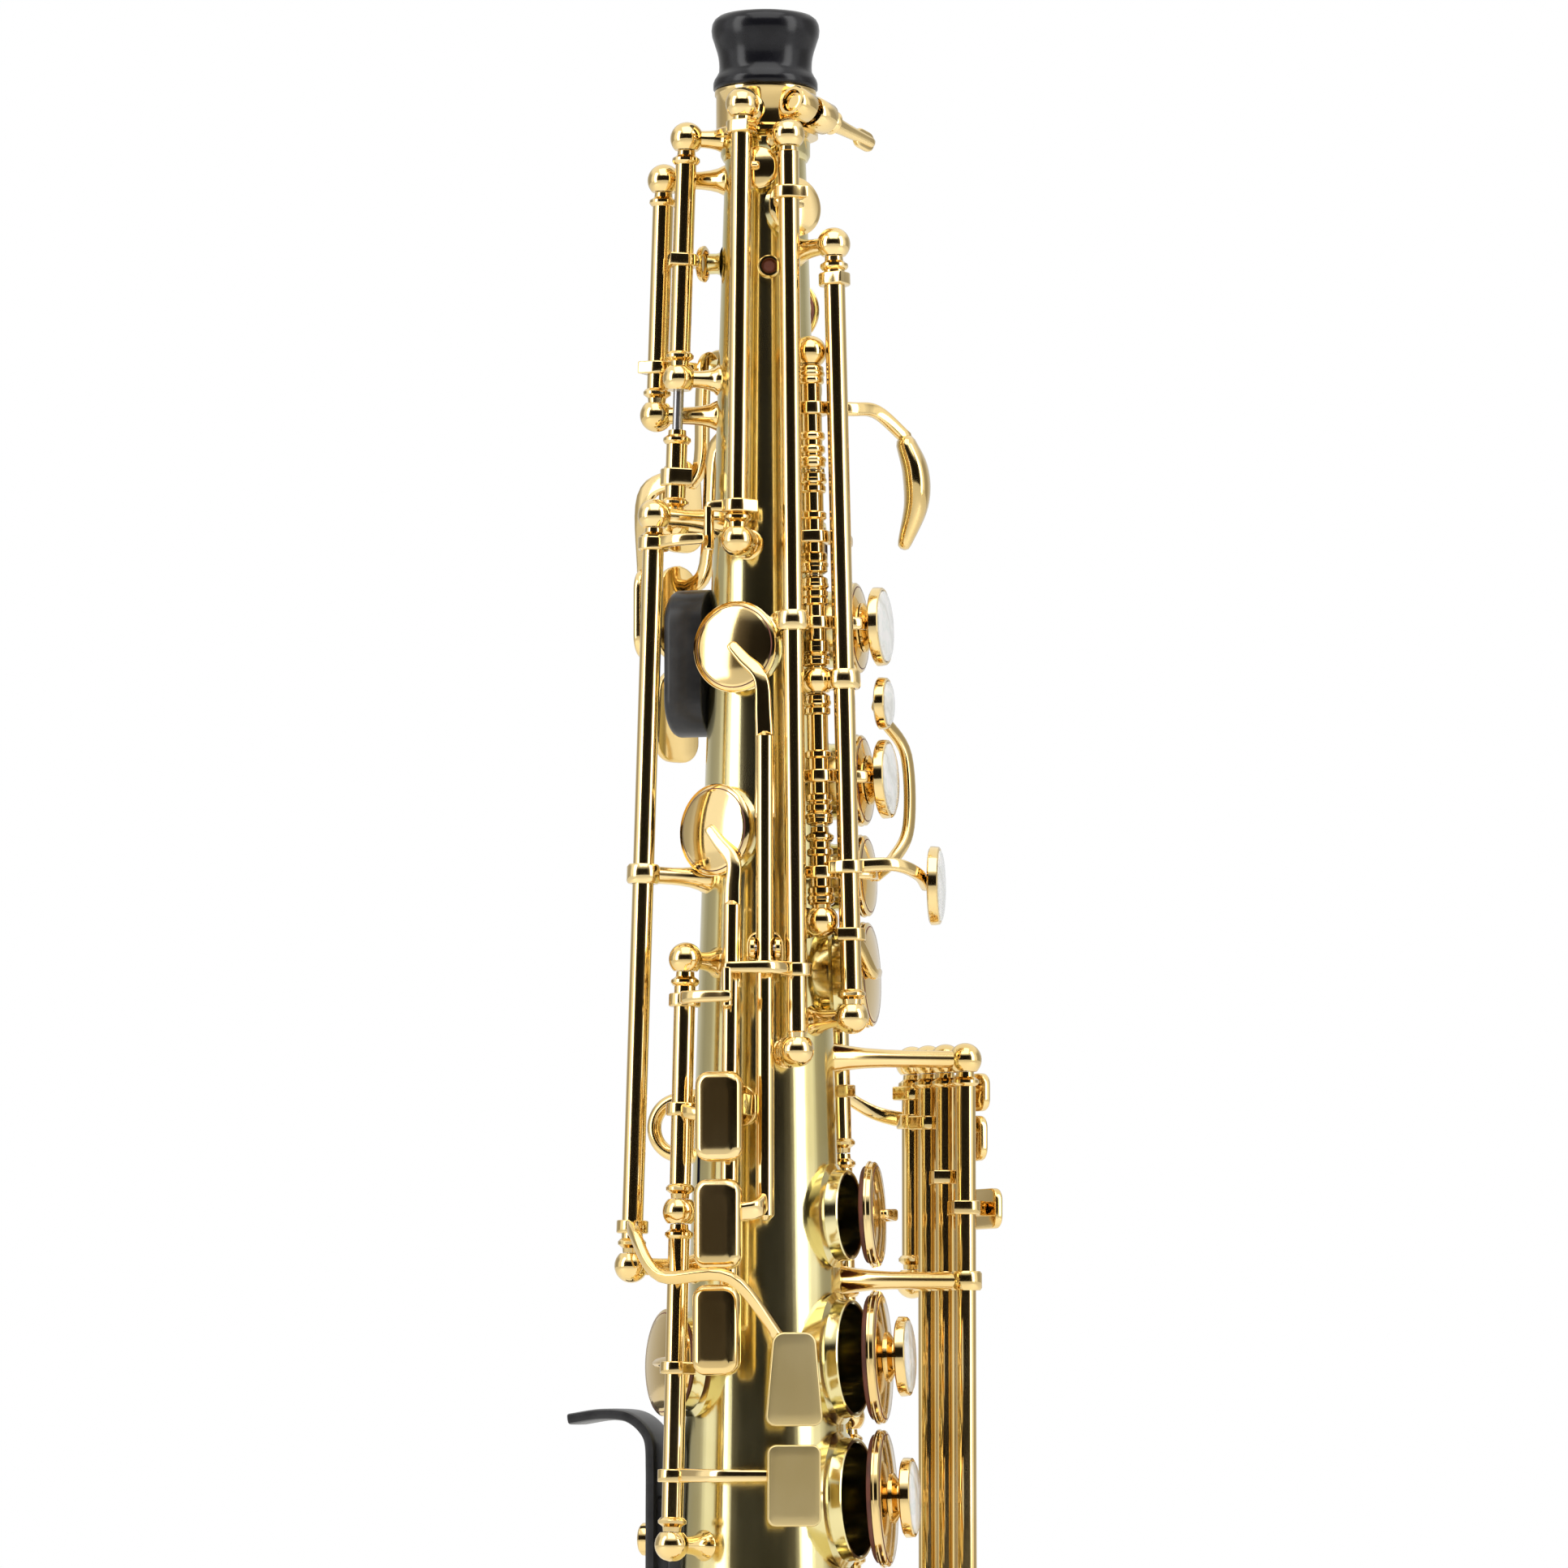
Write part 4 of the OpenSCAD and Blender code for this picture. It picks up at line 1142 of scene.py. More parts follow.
    def holder(self, radius: float, place: Matrix) -> "KeyWork":
        """The stepped brass ring round a pearl.

        Args:
            radius: the pearl's radius.
            place: where it stands.

        Returns:
            This mesh.
        """
        floor, edge = PEARL_BASE, PEARL_EDGE
        loop = [
            (0, 0), (radius + 0.35, 0), (radius + 0.85, 0.35), (radius + 0.85, floor + 0.15),
            (radius + 0.72, floor + edge * 0.72), (radius + 0.45, floor + edge * 0.86),
            (radius + 0.12, floor + edge * 0.8), (radius + 0.05, floor + edge * 0.6),
            (radius + 0.05, floor), (0, floor),
        ]
        return self.turned(loop, place, 48)

    def done(self, body: str, sharp: float = 42.0) -> None:
        """Makes the piece that stands for a key's node, on the body of the same name."""
        self.finish(f"{body}_brass", Finish.KEYS, body, [body], sharp)


def pad(
    hole: Hole, name: str, body: str, own_node: bool = False, place: Matrix | None = None
) -> None:
    """A leather pad with its rounded edge and the ring that the chimney pressed into it.

    Args:
        hole: the tone hole that it closes.
        name: the key's name, without its last word.
        body: the CAD body that it rides on.
        own_node: whether it stands for a CAD node of its own.
        place: how far its key stands open.
    """
    r, thick = hole.pad_radius, hole.sizes[1]
    b, dent = hole.bore, 0.12
    outline = [
        (0, 0.0), (max(b - 0.9, 0.3), 0.0), (max(b - 0.5, 0.4), dent), (b + 0.7, dent),
        (b + 1.0, 0.0), (r - 0.45, 0.02), (r - 0.12, 0.22), (r, 0.55), (r, thick - 0.1),
        (r - 0.1, thick), (0, thick),
    ]
    work = Work(place).turned(outline, hole.frame(hole.base), 56)
    nodes = [f"{name}_pad"] if own_node else []
    work.finish(f"{name}_pad_leather", Finish.LEATHER, body, nodes)


def pearl(radius: float, seat: Matrix, name: str, place: Matrix) -> None:
    """A polished pearl disc with a domed face.

    Args:
        radius: its radius.
        seat: where its holder stands.
        name: the key's name, without its last word.
        place: how far its key stands open.
    """
    shoulder, dome = PEARL_BASE + PEARL_EDGE * 0.9, 0.9
    outline = [(0, PEARL_BASE), (radius, PEARL_BASE), (radius, PEARL_BASE + PEARL_EDGE * 0.8)]
    for degrees in (8, 22, 38, 54, 70, 82):
        a = math.radians(degrees)
        outline.append((radius * math.cos(a), shoulder + dome * math.sin(a)))
    outline.append((0, shoulder + dome))
    work = Work(place).turned(outline, seat, 56)
    work.finish(f"{name}_pearl_disc", Finish.PEARL, f"{name}_key", [f"{name}_pearl"])


def cup_seat(hole: Hole) -> Matrix:
    """Where a pearl's holder sits over a cup."""
    return hole.frame(hole.top + 2.08)


@dataclass
class Tube:
    """Body tube, bell and neck end."""

    wall: float = 0.7
    joint: float = 34.0
    rim: float = 46.5
    bead: float = 1.3
    steps: int = 120

    def build(self) -> None:
        """Makes the fixed brass body."""
        self.body()
        self.bell()
        self.receiver()
        self.plug()
        self.screw()

    def ring(self, work: Work, z: float, height: float) -> None:
        """A half-round reinforcing ring.

        Args:
            work: the mesh that it is added to.
            z: its lower edge.
            height: its height.
        """
        r0, r1 = tube_radius(z), tube_radius(z + height)
        loop = [
            (r0 - 0.3, z), (r0 + 0.35, z), (r0 + 0.9, z + height * 0.22),
            (r0 + 0.9, z + height * 0.78), (r1 + 0.35, z + height), (r1 - 0.3, z + height),
        ]
        work.turned(loop, Matrix(), self.steps, closed=True, bevel=0.12)

    def body(self) -> None:
        """The cone with its holes cut through, and the drawn chimneys."""
        shell = Work().turned(
            [
                (tube_radius(self.joint), self.joint), (tube_radius(BODY_TOP), BODY_TOP),
                (tube_radius(BODY_TOP) - self.wall, BODY_TOP),
                (tube_radius(self.joint) - self.wall, self.joint),
            ],
            Matrix(), self.steps, closed=True,
        )
        cutter = Work()
        for hole in HOLES:
            cutter.disc(hole.bore, -hole.bore - 2, 6, hole.frame(), 0.01, 48)
        cut(shell, cutter)
        for hole in HOLES:
            b, h = hole.bore, hole.chimney
            flare = min(1.6, h * 0.6)
            loop = [
                (b, -self.sink(hole)), (b, h - 0.25), (b + 0.25, h), (b + 0.75, h),
                (b + 1.0, h - 0.25),
                (b + 0.98, flare * 0.9), (b + 1.25, flare * 0.35), (b + 1.0 + flare, -0.15),
                (b + 1.0, -self.sink(hole)),
            ]
            shell.turned(loop, hole.frame(), 56, closed=True)
        self.ring(shell, self.joint, 5)
        self.ring(shell, BODY_TOP - 5, 5)
        shell.finish("body_tube_brass", Finish.BODY, "root", ["body_tube"], 32)

    @staticmethod
    def sink(hole: Hole) -> float:
        """How deep a chimney's foot reaches to meet the curved tube all round."""
        r, reach = tube_radius(hole.z), hole.bore + 1.0
        return r - math.sqrt(max(r * r - reach * reach, 1.0)) + 0.2

    def bell(self) -> None:
        """The flare with its rolled rim."""
        joint = tube_radius(self.joint)
        lip = self.rim - self.bead
        outer, inner = [], []
        for i in range(29):
            t = i / 28
            r = joint + (lip - joint) * (1 - t) ** 2.6
            outer.append((r, 1.3 + (self.joint - 1.3) * t))
            inner.append((r - self.wall, 1.3 + (self.joint - 1.3) * t))
        work = Work().turned(outer + inner[::-1], Matrix(), 144, closed=True)
        curl = arc(self.bead, 0, 360, 24, lip)
        ring = [(r, max(0.0, self.bead * 0.8 + z)) for r, z in curl]
        work.turned(ring, Matrix(), 144, closed=True)
        work.finish("bell_brass", Finish.BODY, "root", ["bell"], 40)

    @staticmethod
    def clamp() -> Matrix:
        """Local Z along the clamp screw."""
        return turn(-22, "Z") @ shift(12.0, 0, BODY_TOP + 4.6) @ turn(78, "X")

    def receiver(self) -> None:
        """The neck receiver with its beads, slot edges and clamp barrels."""
        z, top = BODY_TOP, RECEIVER_TOP
        loop = [
            (8.1, z), (11.1, z), (11.1, z + 1.0), (10.7, z + 1.4), (RECEIVER_RADIUS, z + 1.6),
            (RECEIVER_RADIUS, top - 1.4),
            (10.7, top - 1.0), (10.7, top - 0.2), (10.5, top), (8.1, top),
        ]
        work = Work().turned(loop, Matrix(), 72, closed=True)
        clamp = self.clamp()
        for low, high in ((-6.0, -0.7), (0.7, 6.0)):
            barrel = [
                (2.45, low), (3.1, low), (3.4, low + 0.4), (3.4, high - 0.4), (3.1, high),
                (2.45, high),
            ]
            work.turned(barrel, clamp, 40, closed=True)
        work.finish("neck_receiver_brass", Finish.FITTINGS, "root", ["neck_receiver"], 38)

    def plug(self) -> None:
        """The end plug: spigot, lower flare, hollow waist and rounded head."""
        top, base = RECEIVER_TOP + PLUG_HEIGHT, RECEIVER_TOP + 0.05
        foot = RECEIVER_TOP - 9.2
        outline = [
            (0, foot), (7.4, foot), (8.02, foot + 0.8), (8.02, base), (10.7, base),
            (11.0, base + 0.3), (11.0, base + 1.5), (10.8, base + 2.2), (10.3, base + 3.0),
        ]
        for t in (0.1, 0.25, 0.4, 0.55, 0.7, 0.85):
            outline.append((9.75 + 2.32 * (t - 0.25) ** 2, base + 3.2 + t * 7.4))
        outline += [
            (10.85, top - 5.6), (11.25, top - 4.4), (11.4, top - 3.1), (11.25, top - 1.9),
            (10.8, top - 1.0), (10.0, top - 0.35), (8.6, top - 0.05), (7.2, top),
            (6.6, top - 0.25), (0, top - 0.35),
        ]
        work = Work().turned(outline, Matrix(), 96)
        work.finish("end_plug_resin", Finish.PLUG, "end_plug", ["end_plug"], 50)

    def screw(self) -> None:
        """The neck screw with its dished face, stem and thumb lug."""
        clamp = self.clamp()
        work = Work()
        face = [
            (0, 3.9), (2.0, 3.9), (2.2, 4.1), (2.2, 5.1), (2.0, 5.35), (1.5, 5.45), (1.4, 5.2),
            (0, 5.2),
        ]
        work.turned(face, clamp, 36)
        work.disc(1.35, -8, 4.2, clamp, 0.1, 24)
        head = [(0, -8.4), (2.2, -8.4), (2.6, -7.9), (2.6, -6.7), (2.3, -6.2), (0, -6.2)]
        work.turned(head, clamp, 36)
        tip = clamp @ Vector((0.6, 0, -20.0))
        waist = clamp @ Vector((0.1, 0, -12.0))
        start = clamp @ Vector((0, 0, -8.2))
        work.bent([start, waist, tip], 3.6, 3.0, 0.62, corner=0.85)
        lug = clamp @ shift(0, 0, -18.3) @ turn(90, "Y") @ turn(180, "Z") @ shift(0, 0, -0.6)
        work.plate(6.4, 4.2, 1.2, lug, 2.0, 0.4, 0.2)
        work.finish("neck_screw_brass", Finish.FITTINGS, "neck_screw", ["neck_screw"], 38)


def cut(shell: Work, cutter: Work) -> None:
    """Cuts one mesh's shapes out of another's.

    Args:
        shell: the mesh that is cut.
        cutter: what is cut out of it, which is used up.
    """
    made = []
    for name, work in (("shell", shell), ("cutter", cutter)):
        mesh = bpy.data.meshes.new(name)
        work.bm.to_mesh(mesh)
        obj = bpy.data.objects.new(name, mesh)
        bpy.context.scene.collection.objects.link(obj)
        made.append(obj)
    cutter.bm.free()
    modifier = made[0].modifiers.new("holes", "BOOLEAN")
    modifier.operation, modifier.solver, modifier.object = "DIFFERENCE", "EXACT", made[1]
    evaluated = made[0].evaluated_get(bpy.context.evaluated_depsgraph_get())
    done = bpy.data.meshes.new_from_object(evaluated)
    shell.bm.clear()
    shell.bm.from_mesh(done)
    for obj in made:
        bpy.data.objects.remove(obj)
    bpy.data.meshes.remove(done)


@dataclass
class Posts:
    """Ball posts, guides, brackets, forks, rods and springs."""

    rods: tuple = (
        (UPPER_STACK, 390, 509), (G_LINE, 370, 531.5), (HIGH_E_LINE, 363, 554.5),
        (HIGH_FSHARP_LINE, 469, 561), (TRILL_LINE, 262, 382), (FSHARP_TOUCH_LINE, 319, 475),
        (OCTAVE_UPPER_LINE, 474, 556), (OCTAVE_LOWER_LINE, 498, 548), (PALM_LINE, 448, 526),
        (LOWER_STACK, 222, 374), (LOW_FRONT, 107, 217),
    )
    table: tuple = (
        (GSHARP_LINE, TABLE_MIDDLE, TABLE_HEAD), (LOW_CSHARP_LINE, 150, TABLE_HEAD),
        (LOW_B_LINE, 76, TABLE_HEAD), (LOW_BFLAT_LINE, 44, TABLE_HEAD),
    )
    middle: tuple = (
        (UPPER_STACK, 440), (TRILL_LINE, 330), (LOWER_STACK, 288), (OCTAVE_UPPER_LINE, 505),
        (LOW_FRONT, 160),
    )
    guides: tuple = ((HIGH_E_LINE, 452), (FSHARP_TOUCH_LINE, 400))
    forks: tuple = ((SIDE_C_LINE, 384), (SIDE_BFLAT_LINE, 352))
    brackets: tuple = (TABLE_FOOT, TABLE_MIDDLE, TABLE_HEAD)

    def build(self) -> None:
        """Makes the posts, the steel rods and the springs."""
        work = Work()
        for line, low, high in self.rods:
            self.end_ball(work, line, low, -1)
            self.end_ball(work, line, high, 1)
            self.stem(work, line, low)
            self.stem(work, line, high)
        for line, low, high in self.table:
            self.end_ball(work, line, high, 1)
            self.end_ball(work, line, low, -1)
            if low < TABLE_FOOT:
                self.stem(work, line, low)
        for line, z in self.middle:
            self.middle_ball(work, line, z)
            self.stem(work, line, z)
        for line, z in (*self.guides, (G_LINE, 440)):
            self.guide(work, line, z)
        for line, z in self.guides:
            self.stem(work, line, z)
        work.rod(UPPER_STACK.at(440), G_LINE.at(440), 1.5)
        self.table_brackets(work)
        for line, z in self.forks:
            self.fork(work, line, z)
        work.finish("posts_brass", Finish.FITTINGS, "root", ["posts"], 40)
        self.steel()
        self.springs()

    @staticmethod
    def end_ball(work: Work, line: Line, z: float, side: int) -> None:
        """A ball whose outer half is round and whose inner face is flat.

        Args:
            work: the mesh that it is added to.
            line: the hinge line.
            z: height of its middle.
            side: 1 at the upper end of a rod, -1 at the lower.
        """
        start = math.degrees(math.asin(-BALL_FACE / BALL))
        outline = [(0.0, -BALL_FACE), *arc(BALL, start, 90, 14), (0.0, BALL)]
        flip = Matrix() if side > 0 else turn(180, "X")
        work.turned(outline, line.frame(z) @ flip, 32)

    @staticmethod
    def middle_ball(work: Work, line: Line, z: float) -> None:
        """A ball with two flat faces.

        Args:
            work: the mesh that it is added to.
            line: the hinge line.
            z: height of its middle.
        """
        tilt = math.degrees(math.asin(BALL_FACE / BALL))
        flat = math.sqrt(BALL**2 - BALL_FACE**2)
        outline = [(0.0, -BALL_FACE), *arc(BALL, -tilt, tilt, 14), (flat, BALL_FACE)]
        outline.append((0.0, BALL_FACE))
        work.turned(outline, line.frame(z), 32)

    @staticmethod
    def stem(work: Work, line: Line, z: float) -> None:
        """The turned stem and flared foot of a post, down to the tube or the receiver.

        Args:
            work: the mesh that it is added to.
            line: the hinge line.
            z: height of the post's ball.
        """
        frame = line.frame(z) @ turn(-90, "Y")
        ground = RECEIVER_RADIUS if z > BODY_TOP + 2 else tube_radius(z)
        reach = line.radius_at(z) - ground + 0.15
        outline = [
            (0, 0), (1.8, 0), (1.8, reach * 0.45), (1.9, reach * 0.6), (2.15, reach * 0.75),
            (2.6, reach * 0.88),
            (3.2, reach - 0.35), (3.3, reach + 0.6), (0, reach + 0.6),
        ]
        work.turned(outline, frame, 32)

    @staticmethod
    def guide(work: Work, line: Line, z: float) -> None:
        """A ring that steadies a long hinge tube."""
        loop = [(2.35, -2.0), (3.1, -2.0), (3.45, -1.5), (3.45, 1.5), (3.1, 2.0), (2.35, 2.0)]
        work.turned(loop, line.frame(z), 32, closed=True)

    def table_brackets(self, work: Work) -> None:
        """The stalk and crossbars of the table's rods.

        Args:
            work: the mesh that they are added to.
        """
        lines = (LOW_BFLAT_LINE, LOW_B_LINE, LOW_CSHARP_LINE, GSHARP_LINE)
        for z in self.brackets:
            self.stem(work, LOW_BFLAT_LINE, z)
            count = 2 if z == TABLE_FOOT else 3
            for a, b in zip(lines[:count], lines[1 : count + 1]):
                work.rod(a.at(z), b.at(z), 1.55)
            if z < TABLE_HEAD:
                for line in lines[:3]:
                    self.guide(work, line, z)

    @staticmethod
    def fork(work: Work, line: Line, z: float) -> None:
        """A fork that holds a rocking key between two ears.

        Args:
            work: the mesh that it is added to.
            line: the line of the rocking key.
            z: height of its pin.
        """
        reach = line.radius_at(z) - tube_radius(z)
        frame_at = line.frame(z)
        for side in (-FORK_EAR, FORK_EAR):
            work.disc(2.3, -0.6, 0.6, frame_at @ turn(90, "X") @ shift(z=side), 0.25, 32)
            place = frame_at @ shift(-reach / 2, side + 0.6, 0) @ turn(90, "X")
            work.plate(reach, 4.4, 1.2, place, 0.3, 0.2, 0.0)
        foot = frame_at @ shift(-reach - 0.3) @ turn(90, "Y")
        work.plate(8.4, 7.6, 1.7, foot, 3.0, 0.5, 0.1)

    def steel(self) -> None:
        """The pivot rods and the fork pins."""
        work = Work()
        for line, low, high in (*self.rods, *self.table):
            work.disc(ROD, low - BALL_FACE + 0.1, high + BALL_FACE - 0.1, line.frame(), 0.15, 24)
        for line, z in self.forks:
            pin = line.frame(z) @ turn(90, "X")
            work.disc(0.9, -3.25, 3.25, pin, 0.1, 20)
        work.finish("pivot_rods_steel", Finish.ROD_STEEL, "root", ["pivot_rods"])

    @staticmethod
    def springs() -> None:
        """The needle springs, each tapering to its tip."""
        work = Work()
        runs = (
            (UPPER_STACK, 392, 18, -1), (UPPER_STACK, 442.5, 18, -1), (LOWER_STACK, 224.5, 20, -1),
            (LOWER_STACK, 290.5, 20, -1), (LOWER_STACK, 325, 20, -1), (TRILL_LINE, 332.5, 26, 1),
            (HIGH_E_LINE, 365.5, 24, 1), (LOW_FRONT, 109.5, 20, 1), (LOW_FRONT, 162.5, 20, 1),
            (PALM_LINE, 450.5, 16, 1),
        )
        for line, z, length, side in runs:
            frame = line.frame(z) @ shift(-3.3, side * 1.9)
            needle = [(0, 0), (0.3, 0), (0.3, length * 0.5), (0.12, length), (0, length)]
            work.turned(needle, frame, 12)
        work.finish("needle_springs_steel", Finish.SPRING, "root", ["needle_springs"])


@dataclass
class Fittings:
    """Thumb rest, thumb hook, strap ring and key guards."""

    hook_z: float = 280.5
    hook_bend: float = 7.8
    plate_z: float = 262.5
    stand: float = 5.1
    plate: float = 2.4
    ring_z: float = 348.0

    def build(self) -> None:
        """Makes the fixed fittings."""
        self.rest()
        self.hook()
        self.strap_ring()
        self.ferrule()
        self.guards()

    @staticmethod
    def rest() -> None:
        """The thumb rest: an oval black cushion of hard resin."""
        work = Work()
        place = facing(180, tube_radius(445) - 0.2, 445.25)
        work.plate(31.0, 15.6, 8.6, place, 7.7, 3.2, 1.1)
        work.finish("thumb_rest_resin", Finish.THUMB, "root", ["thumb_rest"], 60)

    def hook(self) -> None:
        """The adjustable thumb hook on its plate."""
        root = tube_radius(self.hook_z)
        stem = root + self.stand + self.plate / 2
        work = Work()
        work.plate(44, 12, 3.2, facing(180, root - 0.6, self.plate_z), 5.8, 0.7, 0.0)
        work.plate(18, 9, 6.2, facing(180, root, self.plate_z), 1.5, 0.6, 0.0)
        bend = [polar(180, stem, z) for z in (246.6, 256, 268, 277)]
        for degrees in (15, 38, 62, 84):
            a = math.radians(degrees)
            out = stem + self.hook_bend * (1 - math.cos(a))
            bend.append(polar(180, out, self.hook_z + self.hook_bend * math.sin(a)))
        bend.append(polar(180, stem + 12, self.hook_z + self.hook_bend))
        bend.append(polar(180, stem + 18.0, self.hook_z + 6.9))
        work.bent(bend, 12.6, 2.4, 1.0, up=Vector((0, 1, 0)), corner=0.35)
        work.finish("thumb_hook_resin", Finish.THUMB, "root", ["thumb_hook"], 50)
        screw = Work()
        place = facing(180, root + self.stand + self.plate, self.plate_z)
        head = [
            (0, -0.2), (3.2, -0.2), (3.4, 0.2), (3.4, 2.2), (3.0, 2.6), (1.2, 2.6), (1.1, 2.3),
            (0, 2.3),
        ]
        screw.turned(head, place, 36)
        screw.finish("thumb_hook_screw", Finish.FITTINGS, "root")

    def strap_ring(self) -> None:
        """The strap ring on its soldered base."""
        work = Work()
        centre = facing(180, tube_radius(self.ring_z) + 3.8, self.ring_z) @ turn(90, "X")
        work.turned(arc(1.5, 0, 360, 16, 5.8), centre, 56, closed=True)
        base = facing(180, tube_radius(self.ring_z) - 1, self.ring_z)
        work.plate(16, 6, 1.9, base, 2.4, 0.6, 0.0)
        work.finish("strap_ring_brass", Finish.FITTINGS, "root", ["strap_ring"], 60)

    @staticmethod
    def ferrule() -> None:
        """The small ring with a cork stop under the high keys."""
        seat = facing(-68, tube_radius(527), 527)
        wall = [(1.5, -0.6), (2.3, -0.6), (2.3, 2.2), (2.1, 2.5), (1.6, 2.5), (1.5, 2.3)]
        ring = Work().turned(wall, seat, 32, closed=True)
        ring.finish("stop_ferrule_brass", Finish.FITTINGS, "root")
        Work().disc(1.5, -0.5, 2.0, seat, 0.4, 28).finish("stop_cork", Finish.LEATHER, "root")

    @staticmethod
    def guards() -> None:
        """Wire guards with rings over the two low cups."""
        work, felt = Work(), Work()
        ring = [
            (4.6, 0.2), (5.0, 0), (6.6, 0), (7.0, 0.3), (7.0, 1.5), (6.6, 1.8), (5.0, 1.8),
            (4.6, 1.6),
        ]
        bumper = [(0, -0.8), (3.9, -0.8), (4.5, -0.2), (4.5, 1.5), (0, 1.5)]
        for hole in (LOW_C, LOW_B):
            top = hole.top + 7.5
            place = hole.frame(top)
            work.turned(ring, place, 48, closed=True)
            felt.turned(bumper, place, 36)
            reach = hole.cup_radius + 2
            for side in (-1, 1):
                base = hole.frame()
                work.bent(
                    [
                        base @ Vector((side * 5.8, 0, top + 0.9)),
                        base @ Vector((side * (reach - 3), 0, top - 0.6)),
                        base @ Vector((side * reach, 0, top - 3)),
                        base @ Vector((side * reach, 0, -0.5)),
                    ],
                    2.4, 2.4, 1.0, up=base.to_3x3() @ Vector((0, 1, 0)), corner=1.0,
                )
                work.disc(3.0, -0.5, 0.9, base @ shift(side * reach), 0.4, 28)
        work.finish("key_guards_brass", Finish.FITTINGS, "root", ["key_guards"], 50)
        felt.finish("guard_felts", Finish.LEATHER, "root")


@dataclass
class Octave:
    """The octave keys and the thumb lever."""

    plate: tuple = (180, 26.5, 456)

    def build(self) -> None:
        """Makes the three pieces of the octave mechanism."""
        line = OCTAVE_UPPER_LINE
        lever = KeyWork()
        lever.hinge(line, above(474), 494)
        angle, radius, z = self.plate
        lever.arm(line, 484, [polar(-170, 25.5, 480), polar(angle, radius, z + 8)], 4.0, 1.0)
        lever.plate(19, 12, 1.8, facing(angle, radius - 0.9, z), 4.6, 0.9, 0.8)
        lever.done("octave_thumb_lever")
        upper = KeyWork()
        upper.hinge(line, above(505), below(556)).cup(OCTAVE_UPPER)
        upper.cup_arm(line, 530, OCTAVE_UPPER)
        upper.done("octave_upper_key")
        lower = KeyWork()
        lower.hinge(OCTAVE_LOWER_LINE, above(498), below(548)).cup(OCTAVE_LOWER)
        lower.cup_arm(OCTAVE_LOWER_LINE, 508, OCTAVE_LOWER)
        lower.done("octave_lower_key")


@dataclass
class HighKeys:
    """High F sharp, high E, the trill key and their touches."""

    def build(self) -> None:
        """Makes the five keys of the right-hand side rods."""
        self.fsharp()
        self.high_e()
        self.trill()

    @staticmethod
    def fsharp() -> None:
        """High F sharp cup and touch."""
        line = HIGH_FSHARP_LINE
        cup = KeyWork()
        cup.hinge(line, above(469), below(561)).cup(HIGH_FSHARP)
        cup.cup_arm(line, 556, HIGH_FSHARP)
        tip = polar(-110, line.radius_at(475) + 1.5, 476)
        cup.arm(line, 476, [tip])
        cup.rod(tip, tip - Vector((0, 0, 9)), 1.1)
        cup.done("high_fsharp_cup")
        pad(HIGH_FSHARP, "high_fsharp", "high_fsharp_cup")
        touch_line = FSHARP_TOUCH_LINE
        touch = KeyWork()
        touch.hinge(touch_line, above(319), below(475))
        touch.arm(
            touch_line, 469, [polar(-124, 24, 469), polar(-109, line.radius_at(469) + 4.2, 469)]
        )
        touch.arm(
            touch_line, 327,
            [
                polar(-124, 34, 325.5), polar(-110, 34.5, 316.5), polar(-84, 33.6, 316),
                polar(-65, 29.7, 303),
            ],
            3.0,
        )
        plate = Work().plate(19, 12, 1.4, facing(-61, 30.5, 295.5), 2.2, 0.4, 0.0, 0.72)
        plate.finish("high_fsharp_plate_brass", Finish.SATIN, "high_fsharp_touch")
        touch.done("high_fsharp_touch")

    @staticmethod
    def high_e() -> None:
        """High E cup and touch."""
        line = HIGH_E_LINE
        cup = KeyWork()
        cup.hinge(line, above(363), below(554.5), HINGE + 0.05).cup(HIGH_E)
        cup.cup_arm(line, 542, HIGH_E)
        tip = polar(-88, 28, 379.5)
        cup.arm(line, 379.5, [polar(-70, 27.5, 379.5), tip])
        cup.rod(tip, tip - Vector((0, 0, 8)), 1.1)
        cup.done("high_e_cup")
        pad(HIGH_E, "high_e", "high_e_cup")
        line = TRILL_LINE
        touch = KeyWork()
        touch.hinge(line, above(330), below(382))
        touch.arm(line, 373.5, [polar(-104, 29.5, 373.5), polar(-86, 30.6, 373.5)])
        touch.arm(line, 351, [polar(-108, 26.4, 350), polar(-96, 27, 349)])
        side_touch(touch, 349)
        touch.done("high_e_touch")

    @staticmethod
    def trill() -> None:
        """F sharp trill key."""
        line = TRILL_LINE
        key = KeyWork()
        key.hinge(line, above(262), below(330)).cup(FSHARP_TRILL)
        key.cup_arm(line, 298, FSHARP_TRILL)
        key.arm(line, 276, [polar(-90, 30.6, 276), polar(-66, 29.8, 276)])
        plate = Work().plate(16.5, 11, 1.4, facing(-61, 30.5, 274), 1.8, 0.4, 0.0)
        plate.finish("fsharp_trill_plate_brass", Finish.SATIN, "fsharp_trill_key")
        key.done("fsharp_trill_key")
        pad(FSHARP_TRILL, "fsharp_trill", "fsharp_trill_key")


def side_touch(work: Work, z: float) -> None:
    """A pillow-shaped side touch."""
    place = facing(SIDE_TOUCH_ANGLE, tube_radius(z) + 11.5, z)
    work.plate(18.5, 10, 3.0, place, 2.9, 1.6, 0.0)


